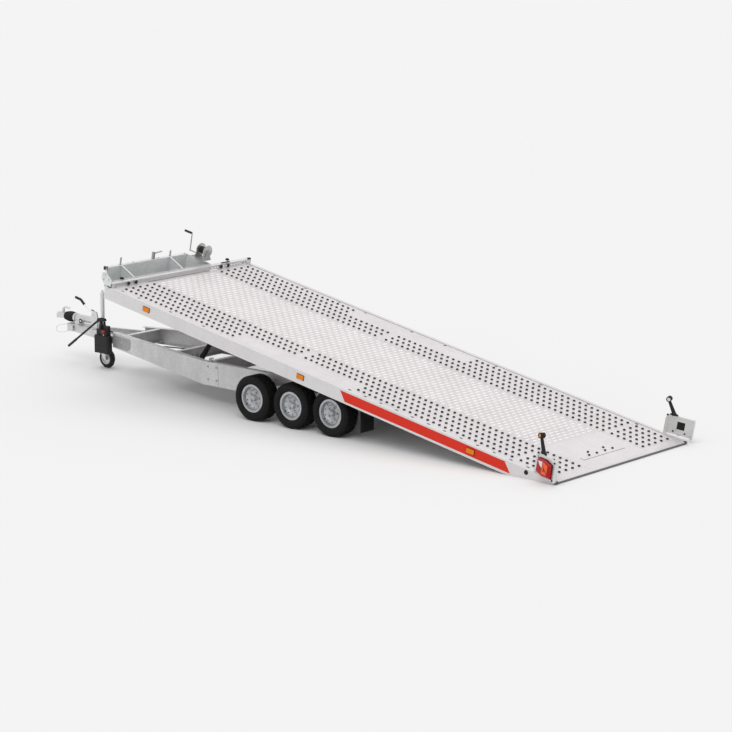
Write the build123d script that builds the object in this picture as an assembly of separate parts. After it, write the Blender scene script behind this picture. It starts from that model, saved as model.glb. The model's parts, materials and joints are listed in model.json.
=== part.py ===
from build123d import *
import os
from math import atan2, cos, degrees, hypot, pi, radians, sin, sqrt, tan

# Tilting car transporter trailer, in millimetres. While it is modelled, the middle axle is at x = 0,
# +X points to the coupling, +Y to the left side, and the ground is z = 0. The saved pieces are moved
# along X so that the origin lies under the middle of the whole trailer.

# ---------------------------------------------------------------- driving sizes
# Wheels
TYRE_D = 468.0
TYRE_W = 195.0
BEAD_R = 128.0
RIM_FLANGE_R = 144.5
RIM_HALF_W = 78.0
WHEEL_Y = 907.5
AXLE_PITCH = 530.0
SPINDLE_R = 17.5
DRUM_IN = -60.0
MOUNT_Y = 34.0
NUT_COUNT = 5
NUT_CIRCLE_R = 56.0
VENT_COUNT = 10
VENT_R = 6.5
FIT = 0.05
# Torsion axles
AXLE_TUBE = 74.0
AXLE_TUBE_Z = 304.0
ARM_REACH = 140.0
# Chassis
BEAM_T = 4.0
BEAM_Y = 705.0
BEAM_TOP = 450.0
BEAM_FLANGE = 60.0
BEAM_LOW_Z = 200.0
BEAM_AXLE_Z = 345.0
BEAM_REAR_X = -740.0
SEAM_X = 1277.0
KINK_X = 1500.0
V_FRONT_X = 3330.0
V_FRONT_Y = 250.0
V_FRONT_LOW_Z = 287.0
NOSE_X = 4280.0
NOSE_REAR_X = 3150.0
NOSE_TOP_Z = 402.0
NOSE_LOW_Z = 322.0
# Bed, in its own frame: u forward from the rear lip, v to the left, w up from the rail's lower edge
TILT = 10.85
BED_W = 2130.0
BED_L = 6035.0
RAIL_H = 137.0
RAIL_T = 4.0
RAIL_FLANGE = 42.0
RAIL_REAR_H = 34.0
PIVOT_X = -660.0
PIVOT_Z = 395.0
PIVOT_U = 2715.0
PIVOT_R = 20.0
DECK_RECESS = 6.0
DECK_T = 3.0
DECK_FOLD = 28.0
FOLD_START_U = 60.0
TRACK_IN_V = 470.0
DECK_GAP = 5.0
REAR_PLATE_U = 620.0
CROSS_LOW_W = 45.0
CROSS_PITCH = 530.0
CROSS_FRONT_GAP = 395.0
CROSS_END_GAP = 140.0
PIVOT_LIFT = 7.0
EYE_LIFT = 23.0
CROSS_W = 60.0
DRAIN_HOLES = [(252, 187), (252, 63), (252, -70), (252, -190), (310, 130), (310, -119)]
LASHING_IN = 65.0
LASHING_LEFT = [360 + 203.6 * k for k in range(12)] + [4390 + 240 * k for k in range(7)]
LASHING_RIGHT = [545, 1150, 1760, 2350, 3040, 3500, 4160, 4540, 5040, 5510, 5880]
# Hydraulic cylinder
CYL_FOOT_X = 2281.0
CYL_FOOT_Z = 172.0
CYL_EYE_U = 5160.0
CYL_EYE_W = 50.0
BARREL_R = 29.0
ROD_R = 16.0
BARREL_L = 455.0
# Drawbar fittings
COUPLING_X = 4451.0
COUPLING_Z = 478.0
BALL_R = 25.0
HOUSING_R = 40.0
JOCKEY_X = 3640.0
JOCKEY_Y = 100.0
JOCKEY_WHEEL_R = 107.5
JOCKEY_WHEEL_W = 60.0
JOCKEY_TRAIL = 60.0
JOCKEY_TUBE_WALL = 4.0
JOCKEY_INNER_R = 20.0
# Lamp brackets
LAMP_PIVOT_U = 240.0
LAMP_PIVOT_IN = 21.0
LAMP_PIN_R = 10.0
LAMP_GAP = 0.5
LAMP_PLATE_L = 288.0
LAMP_PLATE_LOW_W = 150.0
LAMP_PLATE_H = 193.0
LAMP_SPLAY = 19.3
LAMP_SWING = 109.0
# Winch
WINCH_V = -437.0
WINCH_SETBACK = 174.0
WINCH_W = 322.0
DRUM_R = 72.0
CRANK_W = 262.0
CRANK_ARM = 205.0
GEAR_TEETH = 60
PINION_TEETH = 12
GEAR_WIDTH = 10.0
# Wheel-stop bar and front box
BAR_SETBACK = 90.0
BAR_D = 58.0
BAR_H = 65.0
BOX_DEPTH = 213.0
BOX_TOP_W = 257.0
BOX_LOW_W = 60.0
BOX_END_IN = 167.0
BOX_FAR_V = -320.0
BOX_SLANT = 168.0
# Amber lamps on the rails
MARKER_REAR_U = 991.0
MARKER_SETBACK = 638.0

# ---------------------------------------------------------------- worked-out places
tyre_r = TYRE_D / 2
axle_xs = {"front": AXLE_PITCH, "middle": 0.0, "rear": -AXLE_PITCH}
sides = {"left": 1, "right": -1}
c_t, s_t = cos(radians(TILT)), sin(radians(TILT))
rail_y = BED_W / 2
# The bar, the deck's front edge, the box and the winch follow the bed's front end.
bar_u = BED_L - BAR_SETBACK
deck_front_u = bar_u - DECK_GAP
box_front_u = bar_u + BAR_D + BOX_DEPTH
winch_u = box_front_u - WINCH_SETBACK
box_near_v = rail_y - BOX_END_IN
lashing_v = rail_y - LASHING_IN
jockey_tube_r = JOCKEY_INNER_R + JOCKEY_TUBE_WALL
# The chamfered rear end of each rail lies on the ground.
chamfer_w = RAIL_H - RAIL_REAR_H
chamfer_u = chamfer_w / tan(radians(TILT))
bed_z = 0.5 - chamfer_w * c_t
pivot_w = (PIVOT_Z - bed_z - PIVOT_U * s_t) / c_t
bed_x = PIVOT_X - PIVOT_U * c_t + pivot_w * s_t
deck_w = RAIL_H - DECK_RECESS
cross_top_w = deck_w - DECK_T - DECK_FOLD
bed_place = Location(Plane(origin=(bed_x, 0, bed_z), x_dir=(c_t, 0, s_t), z_dir=(-s_t, 0, c_t)))


def bed_point(u, v, w):
    """Place of a bed point in the modelling frame."""
    return (bed_x + u * c_t - w * s_t, v, bed_z + u * s_t + w * c_t)


def turned_about_pivot(point, angle):
    """Where a point of the bed goes when its front is lowered by an angle in degrees."""
    a = radians(angle)
    dx, dz = point[0] - PIVOT_X, point[2] - PIVOT_Z
    return (PIVOT_X + dx * cos(a) + dz * sin(a), point[1], PIVOT_Z - dx * sin(a) + dz * cos(a))


# ---------------------------------------------------------------- shape helpers
def block(x, y, z):
    """Box between two limits on each axis."""
    size = (x[1] - x[0], y[1] - y[0], z[1] - z[0])
    return Pos((x[0] + x[1]) / 2, (y[0] + y[1]) / 2, (z[0] + z[1]) / 2) * Box(*size)


def rod(start, end, radius):
    """Round bar between two points."""
    a, b = Vector(*start), Vector(*end)
    length = (b - a).length
    return Plane(origin=a, z_dir=b - a) * Cylinder(radius, length, align=(Align.CENTER, Align.CENTER, Align.MIN))


def side_plate(points, y0, y1):
    """Outline in X and Z, as thick as y0 to y1."""
    outline = Plane.XZ * make_face(Polyline(*points, close=True))
    return Pos(0, y1, 0) * extrude(outline, y1 - y0)


def plan_plate(points, z0, z1):
    """Outline in X and Y, from z0 up to z1."""
    return Pos(0, 0, z0) * extrude(make_face(Polyline(*points, close=True)), z1 - z0)


def side_link(ends, y0, y1):
    """Link plate round two or more (x, z, radius) bosses."""
    edges = []
    for x, z, radius in ends:
        edges += (Pos(x, z) * Circle(radius)).edges()
    return Pos(0, y1, 0) * extrude(Plane.XZ * make_hull(edges), y1 - y0)


def inset_path(points, distance):
    """Polyline in plan moved by a distance to its right-hand side, with mitred corners."""
    moved = []
    for i, point in enumerate(points):
        normals = []
        for a, b in ((i - 1, i), (i, i + 1)):
            if a < 0 or b >= len(points):
                continue
            dx, dy = points[b][0] - points[a][0], points[b][1] - points[a][1]
            length = hypot(dx, dy)
            normals.append((dy / length, -dx / length))
        nx = sum(n[0] for n in normals) / len(normals)
        ny = sum(n[1] for n in normals) / len(normals)
        scale = distance / (nx * nx + ny * ny)
        moved.append((point[0] + nx * scale, point[1] + ny * scale))
    return moved


def channel_beam(path, flange, bottom, top, wall):
    """Pressed channel whose web follows a plan path, open to the path's right-hand side.

    bottom lists (x, z) along the lower edge; the upper edge is level."""
    ends = ((bottom[-1][0], top), (bottom[0][0], top))
    inner_ends = ((bottom[-1][0], top - wall), (bottom[0][0], top - wall))
    inner_bottom = [(x, z + wall) for x, z in bottom]
    outer = plan_plate(path + inset_path(path, flange)[::-1], 0, top)
    outer = outer & side_plate(list(bottom) + list(ends), -3000, 3000)
    hollow = plan_plate(inset_path(path, wall) + inset_path(path, flange + 30)[::-1], 0, top)
    hollow = hollow & side_plate(inner_bottom + list(inner_ends), -3000, 3000)
    return outer - hollow


def mirrored(shape):
    """The same shape on the other side of the trailer."""
    return mirror(shape, Plane.XZ)


def pair(shape):
    """A left-hand shape with its right-hand twin, as separate solids."""
    return [shape, mirrored(shape)]


parts = {}


def keep(name, *shapes):
    """Collect the solids of one named piece."""
    solids = []
    for shape in shapes:
        for one in shape if isinstance(shape, (list, tuple)) else [shape]:
            solids += one.solids()
    parts[name] = Compound(children=solids) if len(solids) > 1 else solids[0]


# ---------------------------------------------------------------- wheels
def tyre(x, side):
    """Road tyre: flat tread, faceted shoulders and sidewalls, seated between the rim flanges."""
    half, bead = TYRE_W / 2, RIM_HALF_W - 7
    right = [(BEAD_R, bead), (RIM_FLANGE_R + 2, bead), (RIM_FLANGE_R + 24, half), (tyre_r - 24, half - 2), (tyre_r, half - 27)]
    outline = right + [(r, -y) for r, y in right[::-1]]
    return Pos(x, side * WHEEL_Y, tyre_r) * revolve(make_face(Polyline(*outline, close=True)), Axis.Y)


def wheel_rim(x, side):
    """Pressed steel rim with its stepped dish, vent holes and nuts, on the hub and brake drum that turn with it."""
    w, f = RIM_HALF_W, RIM_FLANGE_R
    well, bore = BEAD_R - 5, SPINDLE_R + FIT
    barrel = [(f, w), (f, w - 5), (BEAD_R, w - 7), (BEAD_R, 7 - w), (f, 5 - w), (f, -w), (well, -w), (well, 40)]
    dish_back = [(106, 43), (88, 37), (84, 26)]
    drum = [(100, 20), (100, DRUM_IN), (bore, DRUM_IN), (bore, MOUNT_Y - 6), (0, MOUNT_Y - 6)]
    dish_face = [(0, MOUNT_Y + 26), (22, MOUNT_Y + 26), (34, MOUNT_Y), (74, MOUNT_Y), (88, 44), (106, 51), (well, 46), (well, w)]
    outline = barrel + dish_back + drum + dish_face
    body = revolve(make_face(Polyline(*outline, close=True)), Axis.Y)
    for k in range(VENT_COUNT):
        vent = Rot(0, (k + 0.5) * 360 / VENT_COUNT, 0) * Pos(97, 42, 0) * Rot(90, 0, 0) * Cylinder(VENT_R, 22)
        body = body - vent
    nut = Pos(NUT_CIRCLE_R, MOUNT_Y + 14, 0) * extrude(Plane.XZ * RegularPolygon(9.5, 6), 15)
    for k in range(NUT_COUNT):
        body = body + Rot(0, (k + 0.5) * 360 / NUT_COUNT, 0) * nut
    if side < 0:
        body = mirror(body, Plane.XZ)
    return Pos(x, side * WHEEL_Y, tyre_r) * body


def torsion_axle(x):
    """Rubber torsion axle: square tube, trailing arms, spindles and brake back plates, with pads to the beams."""
    tube_x = x + ARM_REACH
    half = AXLE_TUBE / 2
    tube = block((tube_x - half, tube_x + half), (-722, 722), (AXLE_TUBE_Z - half, AXLE_TUBE_Z + half))
    tube = fillet(tube.edges().filter_by(Axis.Y), 8)
    body = tube
    for side in (1, -1):
        y0, y1 = sorted((side * 718, side * 760))
        body = body + side_link([(tube_x, AXLE_TUBE_Z, 34), (x, tyre_r, 26)], y0, y1)
        body = body + rod((x, side * 755, tyre_r), (x, side * (WHEEL_Y + 24), tyre_r), SPINDLE_R)
        plate_y = WHEEL_Y + DRUM_IN - 8
        body = body + rod((x, side * (plate_y - 6), tyre_r), (x, side * plate_y, tyre_r), 100)
        y0, y1 = sorted((side * (BEAM_Y - BEAM_FLANGE), side * BEAM_Y))
        body = body + block((tube_x - 50, tube_x + 50), (y0, y1), (AXLE_TUBE_Z + half - 4, BEAM_AXLE_Z))
    return body


for place, x in axle_xs.items():
    for side_name, side in sides.items():
        keep(f"tyre_{place}_{side_name}", tyre(x, side))
        keep(f"rim_{place}_{side_name}", wheel_rim(x, side))
keep("axles", [torsion_axle(x) for x in axle_xs.values()])

# ---------------------------------------------------------------- chassis
web_in = BEAM_Y - BEAM_T
v_slope = (V_FRONT_Y - BEAM_Y) / (V_FRONT_X - KINK_X)


def v_outer_y(x):
    """Outer face of the drawbar's V at a place along X."""
    return BEAM_Y + (x - KINK_X) * v_slope


def v_inner_y(x):
    """Inner face of the V's web, which is also the outer face of the nose's web."""
    return v_outer_y(x) - BEAM_T * hypot(1, v_slope)


def nose_inner_y(x):
    """Inner face of the nose's web."""
    return v_outer_y(x) - 2 * BEAM_T * hypot(1, v_slope)


def side_beam():
    """Longitudinal channel: shallow over the axles, deep where it meets the drawbar."""
    path = [(BEAM_REAR_X, BEAM_Y), (SEAM_X, BEAM_Y)]
    low = [(BEAM_REAR_X, BEAM_AXLE_Z), (AXLE_PITCH + 215, BEAM_AXLE_Z), (AXLE_PITCH + 370, BEAM_LOW_Z), (SEAM_X, BEAM_LOW_Z)]
    return channel_beam(path, BEAM_FLANGE, low, BEAM_TOP, BEAM_T)


def v_beam():
    """Deep pressed channel of the drawbar, bent in plan at its kink and tapering to the front."""
    path = [(SEAM_X, BEAM_Y), (KINK_X, BEAM_Y), (V_FRONT_X, V_FRONT_Y)]
    low = [(SEAM_X, BEAM_LOW_Z), (KINK_X, BEAM_LOW_Z), (V_FRONT_X, V_FRONT_LOW_Z)]
    return channel_beam(path, BEAM_FLANGE, low, BEAM_TOP, BEAM_T)


def splice():
    """Plate that joins the two channels behind their seam."""
    plate = block((SEAM_X - 110, SEAM_X + 110), (web_in - 6, web_in), (BEAM_LOW_Z + 20, BEAM_TOP - 20))
    return plate


keep("side_beams", pair(side_beam()))
keep("v_beams", pair(v_beam()))


def cross_channel(x0, x1, z0, z1, wall=4.0):
    """Cross-member: a channel open to the rear that ends on the webs of both beams."""
    bar = block((x0, x1), (-BEAM_Y, BEAM_Y), (z0, z1)) - block((x0 - 1, x1 - wall), (-BEAM_Y, BEAM_Y), (z0 + wall, z1 - wall))
    if x0 > CYL_FOOT_X + 300:
        bar = bar - block((x0 - 1, x1 + 1), (30, 104), (314, 352))
    inside = inset_path([(BEAM_REAR_X, BEAM_Y), (KINK_X, BEAM_Y), (V_FRONT_X, V_FRONT_Y)], BEAM_T)
    outline = inside + [(x, -y) for x, y in inside[::-1]]
    return bar & plan_plate(outline, z0 - 1, z1 + 1)


cross_low = BEAM_AXLE_Z + BEAM_T
cross_high = BEAM_TOP - BEAM_T
cross_members = [
    cross_channel(BEAM_REAR_X, BEAM_REAR_X + 38, cross_low, cross_high),
    cross_channel(-150, -95, cross_low, cross_high),
    cross_channel(390, 445, cross_low, cross_high),
    cross_channel(KINK_X - 90, KINK_X - 30, 300, cross_high),
    cross_channel(CYL_FOOT_X + 30, CYL_FOOT_X + 95, 246, 370),
    cross_channel(NOSE_REAR_X - 70, NOSE_REAR_X - 8, 300, cross_high),
]
keep("cross_members", cross_members, pair(splice()))


def nose_leg():
    """Front leg of the V, a smaller channel that starts inside the deep beam."""
    x0, x1 = NOSE_REAR_X, NOSE_X - 60
    path = [(x0, v_outer_y(x0)), (x1, v_outer_y(x1))]
    path = inset_path(path, BEAM_T)
    low = [(path[0][0], NOSE_LOW_Z), (path[1][0], NOSE_LOW_Z)]
    return channel_beam(path, 38, low, NOSE_TOP_Z, BEAM_T)


nose_y = v_outer_y(NOSE_X - 60)
nose = nose_leg() + mirrored(nose_leg())
nose_cap = block((NOSE_X - 90, NOSE_X), (-nose_y - 22, nose_y + 22), (NOSE_LOW_Z, NOSE_TOP_Z))
nose_cap = nose_cap - block((NOSE_X - 91, NOSE_X - 6), (-nose_y - 17, nose_y + 17), (NOSE_LOW_Z - 1, NOSE_TOP_Z + 1))
nose = nose + nose_cap
half_plan = [(3790, v_outer_y(3790) - BEAM_T), (NOSE_X, nose_y + 22)]
plan = half_plan + [(x, -y) for x, y in half_plan[::-1]]
nose = nose + plan_plate(plan, NOSE_TOP_Z, NOSE_TOP_Z + 6)
keep("nose_frame", nose)
shaft_z = PIVOT_Z


def cylinder_lug():
    """Cheek plate that hangs the cylinder's foot from its cross-member."""
    x = CYL_FOOT_X + 30
    return side_link([(CYL_FOOT_X, CYL_FOOT_Z, 26), (x + 18, 262, 12), (x + 18, 330, 12)], 34, 44)


cylinder_lugs = [s - block((CYL_FOOT_X + 30, CYL_FOOT_X + 200), (-60, 60), (245.7, 371)) for s in pair(cylinder_lug())]
foot_pin = rod((CYL_FOOT_X, -44, CYL_FOOT_Z), (CYL_FOOT_X, 44, CYL_FOOT_Z), 12.5)
latch_x = 1395.0


def latch():
    """Hook on the beam's top that holds the lowered bed."""
    hook = [(latch_x - 35, BEAM_TOP), (latch_x + 35, BEAM_TOP), (latch_x + 22, 490), (latch_x - 24, 500), (latch_x - 34, 484),
            (latch_x - 6, 480), (latch_x - 8, 466)]
    return side_plate(hook, BEAM_Y - 26, BEAM_Y - 14)


pivot_shaft = rod((PIVOT_X, -web_in, PIVOT_Z), (PIVOT_X, web_in, PIVOT_Z), PIVOT_R)
foot_bracket = cylinder_lugs[0] + cylinder_lugs[1] + foot_pin

flap_x = -945.0


def flap_bracket():
    """Flat bar that carries a mud flap behind the rear wheel."""
    z = (BEAM_AXLE_Z + 10, BEAM_AXLE_Z + 40)
    arm = block((flap_x + 3, BEAM_REAR_X + 34), (BEAM_Y - 34, BEAM_Y - 22), z)
    return arm + block((flap_x + 3, flap_x + 13), (BEAM_Y - 34, WHEEL_Y + 95), z)


def mud_flap():
    """Rubber flap behind the rear wheel."""
    return block((flap_x - 3, flap_x + 3), (WHEEL_Y - 100, WHEEL_Y + 97), (105, BEAM_AXLE_Z + 36))




def pump_plate():
    """Wear plate on the left drawbar beam beside the pump, with the hose's hole and a cut lower corner."""
    x0, x1, z1 = V_FRONT_X - 370, V_FRONT_X - 30, BEAM_TOP - 24
    outline = [(x0, z1), (x1, z1), (x1, 300), (x0 + 70, 292), (x0, 330)]
    hole = Pos(x0 + 190, 0, 366) * Rot(90, 0, 0) * Cylinder(16, 3000)
    plate = side_plate(outline, 0, 900) - hole
    strip = [(x0 - 50, v_outer_y(x0 - 50)), (V_FRONT_X, V_FRONT_Y), (V_FRONT_X, V_FRONT_Y + 5 * hypot(1, v_slope)),
             (x0 - 50, v_outer_y(x0 - 50) + 5 * hypot(1, v_slope))]
    return plate & plan_plate(strip, 0, 900)


keep("chassis_brackets", foot_bracket, pump_plate(), pair(latch()), pivot_shaft, pair(flap_bracket()))
keep("mud_flaps", pair(mud_flap()))

# ---------------------------------------------------------------- coupling and drawbar fittings
housing_rear, housing_front = 3826.0, 4192.0
plate_top = NOSE_TOP_Z + 6


def overrun_housing():
    """Cast housing of the overrun brake, bolted to the nose plate, with its front and rear feet."""
    axis_z = COUPLING_Z + 2
    tube = rod((housing_rear, 0, axis_z), (housing_front, 0, axis_z), HOUSING_R)
    body = tube + rod((housing_front - 26, 0, axis_z), (housing_front, 0, axis_z), HOUSING_R + 9)
    for x in (housing_rear + 22, housing_front - 96):
        foot = [(-44, plate_top), (44, plate_top), (44, plate_top + 12), (30, axis_z), (-30, axis_z), (-44, plate_top + 12)]
        web = extrude(Plane.YZ * make_face(Polyline(*foot, close=True)), 60)
        body = body + Pos(x, 0, 0) * web
    bore = rod((housing_rear - 1, 0, axis_z), (housing_front + 1, 0, axis_z), 26)
    ring = rod((4048, 30, 462), (4048, 56, 462), 26)
    return body - bore + ring


def coupling_head():
    """Ball coupling: drawbar shank, pressed head with its ball socket, and the release handle."""
    shank = rod((housing_rear + 20, 0, COUPLING_Z + 2), (COUPLING_X - 30, 0, COUPLING_Z + 2), 25)
    dome = Pos(COUPLING_X, 0, COUPLING_Z) * Sphere(39)
    skirt = Pos(COUPLING_X, 0, COUPLING_Z - 14) * Cylinder(39, 28)
    neck = loft([
        Plane(origin=(COUPLING_X - 95, 0, COUPLING_Z + 2), z_dir=(1, 0, 0)) * RectangleRounded(58, 58, 20),
        Plane(origin=(COUPLING_X - 8, 0, COUPLING_Z + 4), z_dir=(1, 0, 0)) * RectangleRounded(74, 62, 24),
    ])
    head = shank + neck + dome + skirt
    head = head - Pos(COUPLING_X, 0, COUPLING_Z - 6) * Sphere(BALL_R + 0.1)
    head = head - Pos(COUPLING_X, 0, COUPLING_Z - 40) * Cylinder(BALL_R + 0.1, 68)
    head = head - block((COUPLING_X - 60, COUPLING_X + 60), (-60, 60), (COUPLING_Z - 60, COUPLING_Z - 28))
    grip = [(COUPLING_X - 40, COUPLING_Z + 30), (COUPLING_X - 60, COUPLING_Z + 84), (COUPLING_X - 88, COUPLING_Z + 108),
            (COUPLING_X - 158, COUPLING_Z + 96), (COUPLING_X - 160, COUPLING_Z + 86), (COUPLING_X - 92, COUPLING_Z + 92),
            (COUPLING_X - 76, COUPLING_Z + 76), (COUPLING_X - 66, COUPLING_Z + 28)]
    return head + side_plate(grip, -15, 15)


def bellows():
    """Rubber bellows between the housing and the head, with even folds."""
    x0, x1, folds = housing_front, 4350.0, 6
    pitch = (x1 - x0) / folds
    line = [(x0, 26.5)]
    for k in range(folds):
        r = 60 - 2.5 * k
        line += [(x0 + pitch * k, r - 11), (x0 + pitch * (k + 0.5), r)]
    line += [(x1, 38), (x1, 26.5)]
    shape = revolve(make_face(Polyline(*line, close=True)), Axis.X)
    return Pos(0, 0, COUPLING_Z + 2) * shape


def handbrake():
    """Overrun hand brake: bracket plates, rod and bent grip."""
    plates = [(3826, plate_top), (3900, plate_top), (3912, 520), (3925, 560), (3900, 590), (3850, 600), (3830, 540)]
    bracket = side_plate(plates, 52, 60)
    lever = rod((3890, 56, 565), (4035, 60, 655), 7) + Pos(4035, 60, 655) * Sphere(12)
    return bracket + lever


def handbrake_grip():
    """Bent rubber grip of the hand brake."""
    elbow = (4085, 60, 700)
    grip = rod((4035 + 9, 60, 655 + 8), elbow, 15) + Pos(*elbow) * Sphere(15)
    return grip + rod(elbow, (4178, 60, 726), 15)


keep("overrun_housing", overrun_housing())
keep("coupling_head", coupling_head())
keep("coupling_bellows", bellows())
keep("handbrake", handbrake())
keep("handbrake_grip", handbrake_grip())

jockey_top, jockey_low = 830.0, 330.0
crown_z = 228.0


def jockey_stand():
    """Clamp, outer tube and winding handle of the jockey wheel."""
    tube = rod((JOCKEY_X, JOCKEY_Y, jockey_low), (JOCKEY_X, JOCKEY_Y, jockey_top), jockey_tube_r)
    clamp = rod((JOCKEY_X, JOCKEY_Y, 336), (JOCKEY_X, JOCKEY_Y, 388), jockey_tube_r + 8)
    x0, x1 = JOCKEY_X - 25, JOCKEY_X + 25
    lug = plan_plate([(x0, JOCKEY_Y), (x1, JOCKEY_Y), (x1, nose_inner_y(x1)), (x0, nose_inner_y(x0))], 340, 384)
    body = tube + clamp + lug
    body = body - rod((JOCKEY_X, JOCKEY_Y, jockey_low - 1), (JOCKEY_X, JOCKEY_Y, jockey_top - 20), JOCKEY_INNER_R + FIT)
    crank = rod((JOCKEY_X, JOCKEY_Y, jockey_top - 1), (JOCKEY_X, JOCKEY_Y, jockey_top + 32), 8)
    crank = crank + rod((JOCKEY_X, JOCKEY_Y, jockey_top + 20), (JOCKEY_X + 70, JOCKEY_Y + 60, jockey_top + 20), 6)
    crank = crank + rod((JOCKEY_X + 70, JOCKEY_Y + 60, jockey_top + 8), (JOCKEY_X + 70, JOCKEY_Y + 60, jockey_top + 60), 9)
    return body + crank


def jockey_fork():
    """Castor fork with its swivel stub and wheel pin."""
    wheel_x = JOCKEY_X - JOCKEY_TRAIL
    half = JOCKEY_WHEEL_W / 2 + 8
    body = rod((JOCKEY_X, JOCKEY_Y, crown_z + 10), (JOCKEY_X, JOCKEY_Y, crown_z + 70), 10)
    body = body + block((JOCKEY_X - 42, JOCKEY_X + 30), (JOCKEY_Y - half - 5, JOCKEY_Y + half + 5), (crown_z, crown_z + 11))
    for side in (1, -1):
        y0, y1 = sorted((JOCKEY_Y + side * half, JOCKEY_Y + side * (half + 5)))
        body = body + side_link([(wheel_x, JOCKEY_WHEEL_R, 20), (JOCKEY_X - 22, crown_z - 8, 18), (JOCKEY_X + 10, crown_z - 8, 18)], y0, y1)
    return body + rod((wheel_x, JOCKEY_Y - half - 9, JOCKEY_WHEEL_R), (wheel_x, JOCKEY_Y + half + 9, JOCKEY_WHEEL_R), 8)


def jockey_wheel():
    """Jockey wheel: rubber ring on a dished hub."""
    half = JOCKEY_WHEEL_W / 2
    r = JOCKEY_WHEEL_R
    ring = Polyline((66, -half + 4), (r - 14, -half), (r, -half + 16), (r, half - 16), (r - 14, half), (66, half - 4), close=True)
    return Pos(JOCKEY_X - JOCKEY_TRAIL, JOCKEY_Y, r) * revolve(make_face(ring), Axis.Y)


def jockey_hub():
    """Steel disc and hub of the jockey wheel."""
    half = JOCKEY_WHEEL_W / 2
    hub = Polyline((8 + FIT, -half), (20, -half), (22, -8), (58, -5), (60, -half + 6), (66, -half + 4), (66, half - 4),
                   (60, half - 6), (58, 5), (22, 8), (20, half), (8 + FIT, half), close=True)
    return Pos(JOCKEY_X - JOCKEY_TRAIL, JOCKEY_Y, JOCKEY_WHEEL_R) * revolve(make_face(hub), Axis.Y)


inner = rod((JOCKEY_X, JOCKEY_Y, crown_z + 12), (JOCKEY_X, JOCKEY_Y, 570), JOCKEY_INNER_R)
inner = inner - rod((JOCKEY_X, JOCKEY_Y, crown_z), (JOCKEY_X, JOCKEY_Y, crown_z + 72), 10 + FIT)
keep("jockey_stand", jockey_stand())
keep("jockey_tube", inner)
keep("jockey_fork", jockey_fork())
keep("jockey_tyre", jockey_wheel())
keep("jockey_hub", jockey_hub())

PUMP_X, PUMP_Y = 3470.0, 266.0


def hand_pump():
    """Hand pump body on its bracket with the long pumping lever."""
    body = block((PUMP_X - 62, PUMP_X + 62), (PUMP_Y - 34, PUMP_Y + 34), (424, 520))
    body = body + rod((PUMP_X + 18, PUMP_Y, 515), (PUMP_X + 18, PUMP_Y, 575), 24)
    body = body + rod((PUMP_X - 40, PUMP_Y, 515), (PUMP_X - 40, PUMP_Y, 560), 17)
    points = [(PUMP_X - 62, v_inner_y(PUMP_X - 62)), (PUMP_X + 62, v_inner_y(PUMP_X + 62)),
              (PUMP_X + 62, PUMP_Y - 30), (PUMP_X - 62, PUMP_Y - 30)]
    bracket = plan_plate(points, NOSE_LOW_Z + 20, NOSE_TOP_Z)
    bracket = bracket + block((PUMP_X - 62, PUMP_X + 62), (PUMP_Y - 35, PUMP_Y - 30), (NOSE_LOW_Z + 20, 440))
    arm = side_link([(PUMP_X - 40, 575, 16), (PUMP_X + 60, 572, 16)], PUMP_Y - 10, PUMP_Y + 10)
    lever = rod((PUMP_X + 40, PUMP_Y, 582), (PUMP_X + 558, PUMP_Y, 212), 12.5)
    return body + bracket + arm + lever


def reservoir():
    """Oil reservoir under the pump, with rounded upright edges."""
    tank = block((PUMP_X - 70, PUMP_X + 70), (PUMP_Y - 30, PUMP_Y + 50), (214, 424))
    return fillet(tank.edges().filter_by(Axis.Z), 22)


keep("hand_pump", hand_pump(), reservoir())

HOSE_R = 7.0


def hydraulic_hose():
    """Hose clipped along the drawbar from the pump to the union by the cylinder's foot."""
    end_x = CYL_FOOT_X + 95
    route = [(PUMP_X - 62, 256, 466), (PUMP_X - 98, 256, 466), (3346, 216, 436), (3322, 156, 376), (3236, 104, 340),
             (3080, 62, 331), (2846, 14, 324), (2610, 8, 338), (2460, 16, 350), (end_x + 22, 16, 350)]
    corners = [26, 34, 60, 90, 200, 400, 500, 300]
    path = FilletPolyline(*route, radius=corners)
    section = Plane(origin=path @ 0, z_dir=path % 0) * Circle(HOSE_R)
    union = block((end_x, end_x + 22), (4, 28), (338, 362))
    return [sweep(section, path=path), union]


keep("hydraulic_hose", hydraulic_hose())

CABLE_R = 2.0


def breakaway_cable():
    """Breakaway cable that hangs in a loop from the nose's front plate."""
    route = [(NOSE_X, 0, 388), (4332, 2, 386), (4386, 4, 377), (4440, 6, 364), (4488, 7, 344), (4518, 7, 312), (4499, 6, 281),
             (4456, 4, 275), (4402, 2, 283), (4348, 1, 296), (4306, 0, 315), (NOSE_X, 0, 332)]
    corners = []
    for a, b, c in zip(route, route[1:], route[2:]):
        before, after = Vector(*b) - Vector(*a), Vector(*c) - Vector(*b)
        turn = before.get_angle(after)
        corners.append(0.45 * min(before.length, after.length) / tan(radians(turn / 2)))
    print("cable radii", [round(r) for r in corners])
    path = FilletPolyline(*route, radius=corners)
    section = Plane(origin=path @ 0, z_dir=path % 0) * Circle(CABLE_R)
    tube = sweep(section, path=path)
    print("cable volume share", round(tube.volume / (pi * CABLE_R ** 2 * path.length), 4))
    return tube


keep("breakaway_cable", breakaway_cable())

# ---------------------------------------------------------------- hydraulic cylinder
eye = bed_point(CYL_EYE_U, 0, CYL_EYE_W)
foot = (CYL_FOOT_X, 0, CYL_FOOT_Z)
cyl_len = hypot(eye[0] - foot[0], eye[2] - foot[2])
cyl_dir = ((eye[0] - foot[0]) / cyl_len, 0, (eye[2] - foot[2]) / cyl_len)


def along(distance):
    """Point on the cylinder's axis at a distance from its foot pin."""
    return (foot[0] + cyl_dir[0] * distance, 0, foot[2] + cyl_dir[2] * distance)


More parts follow.
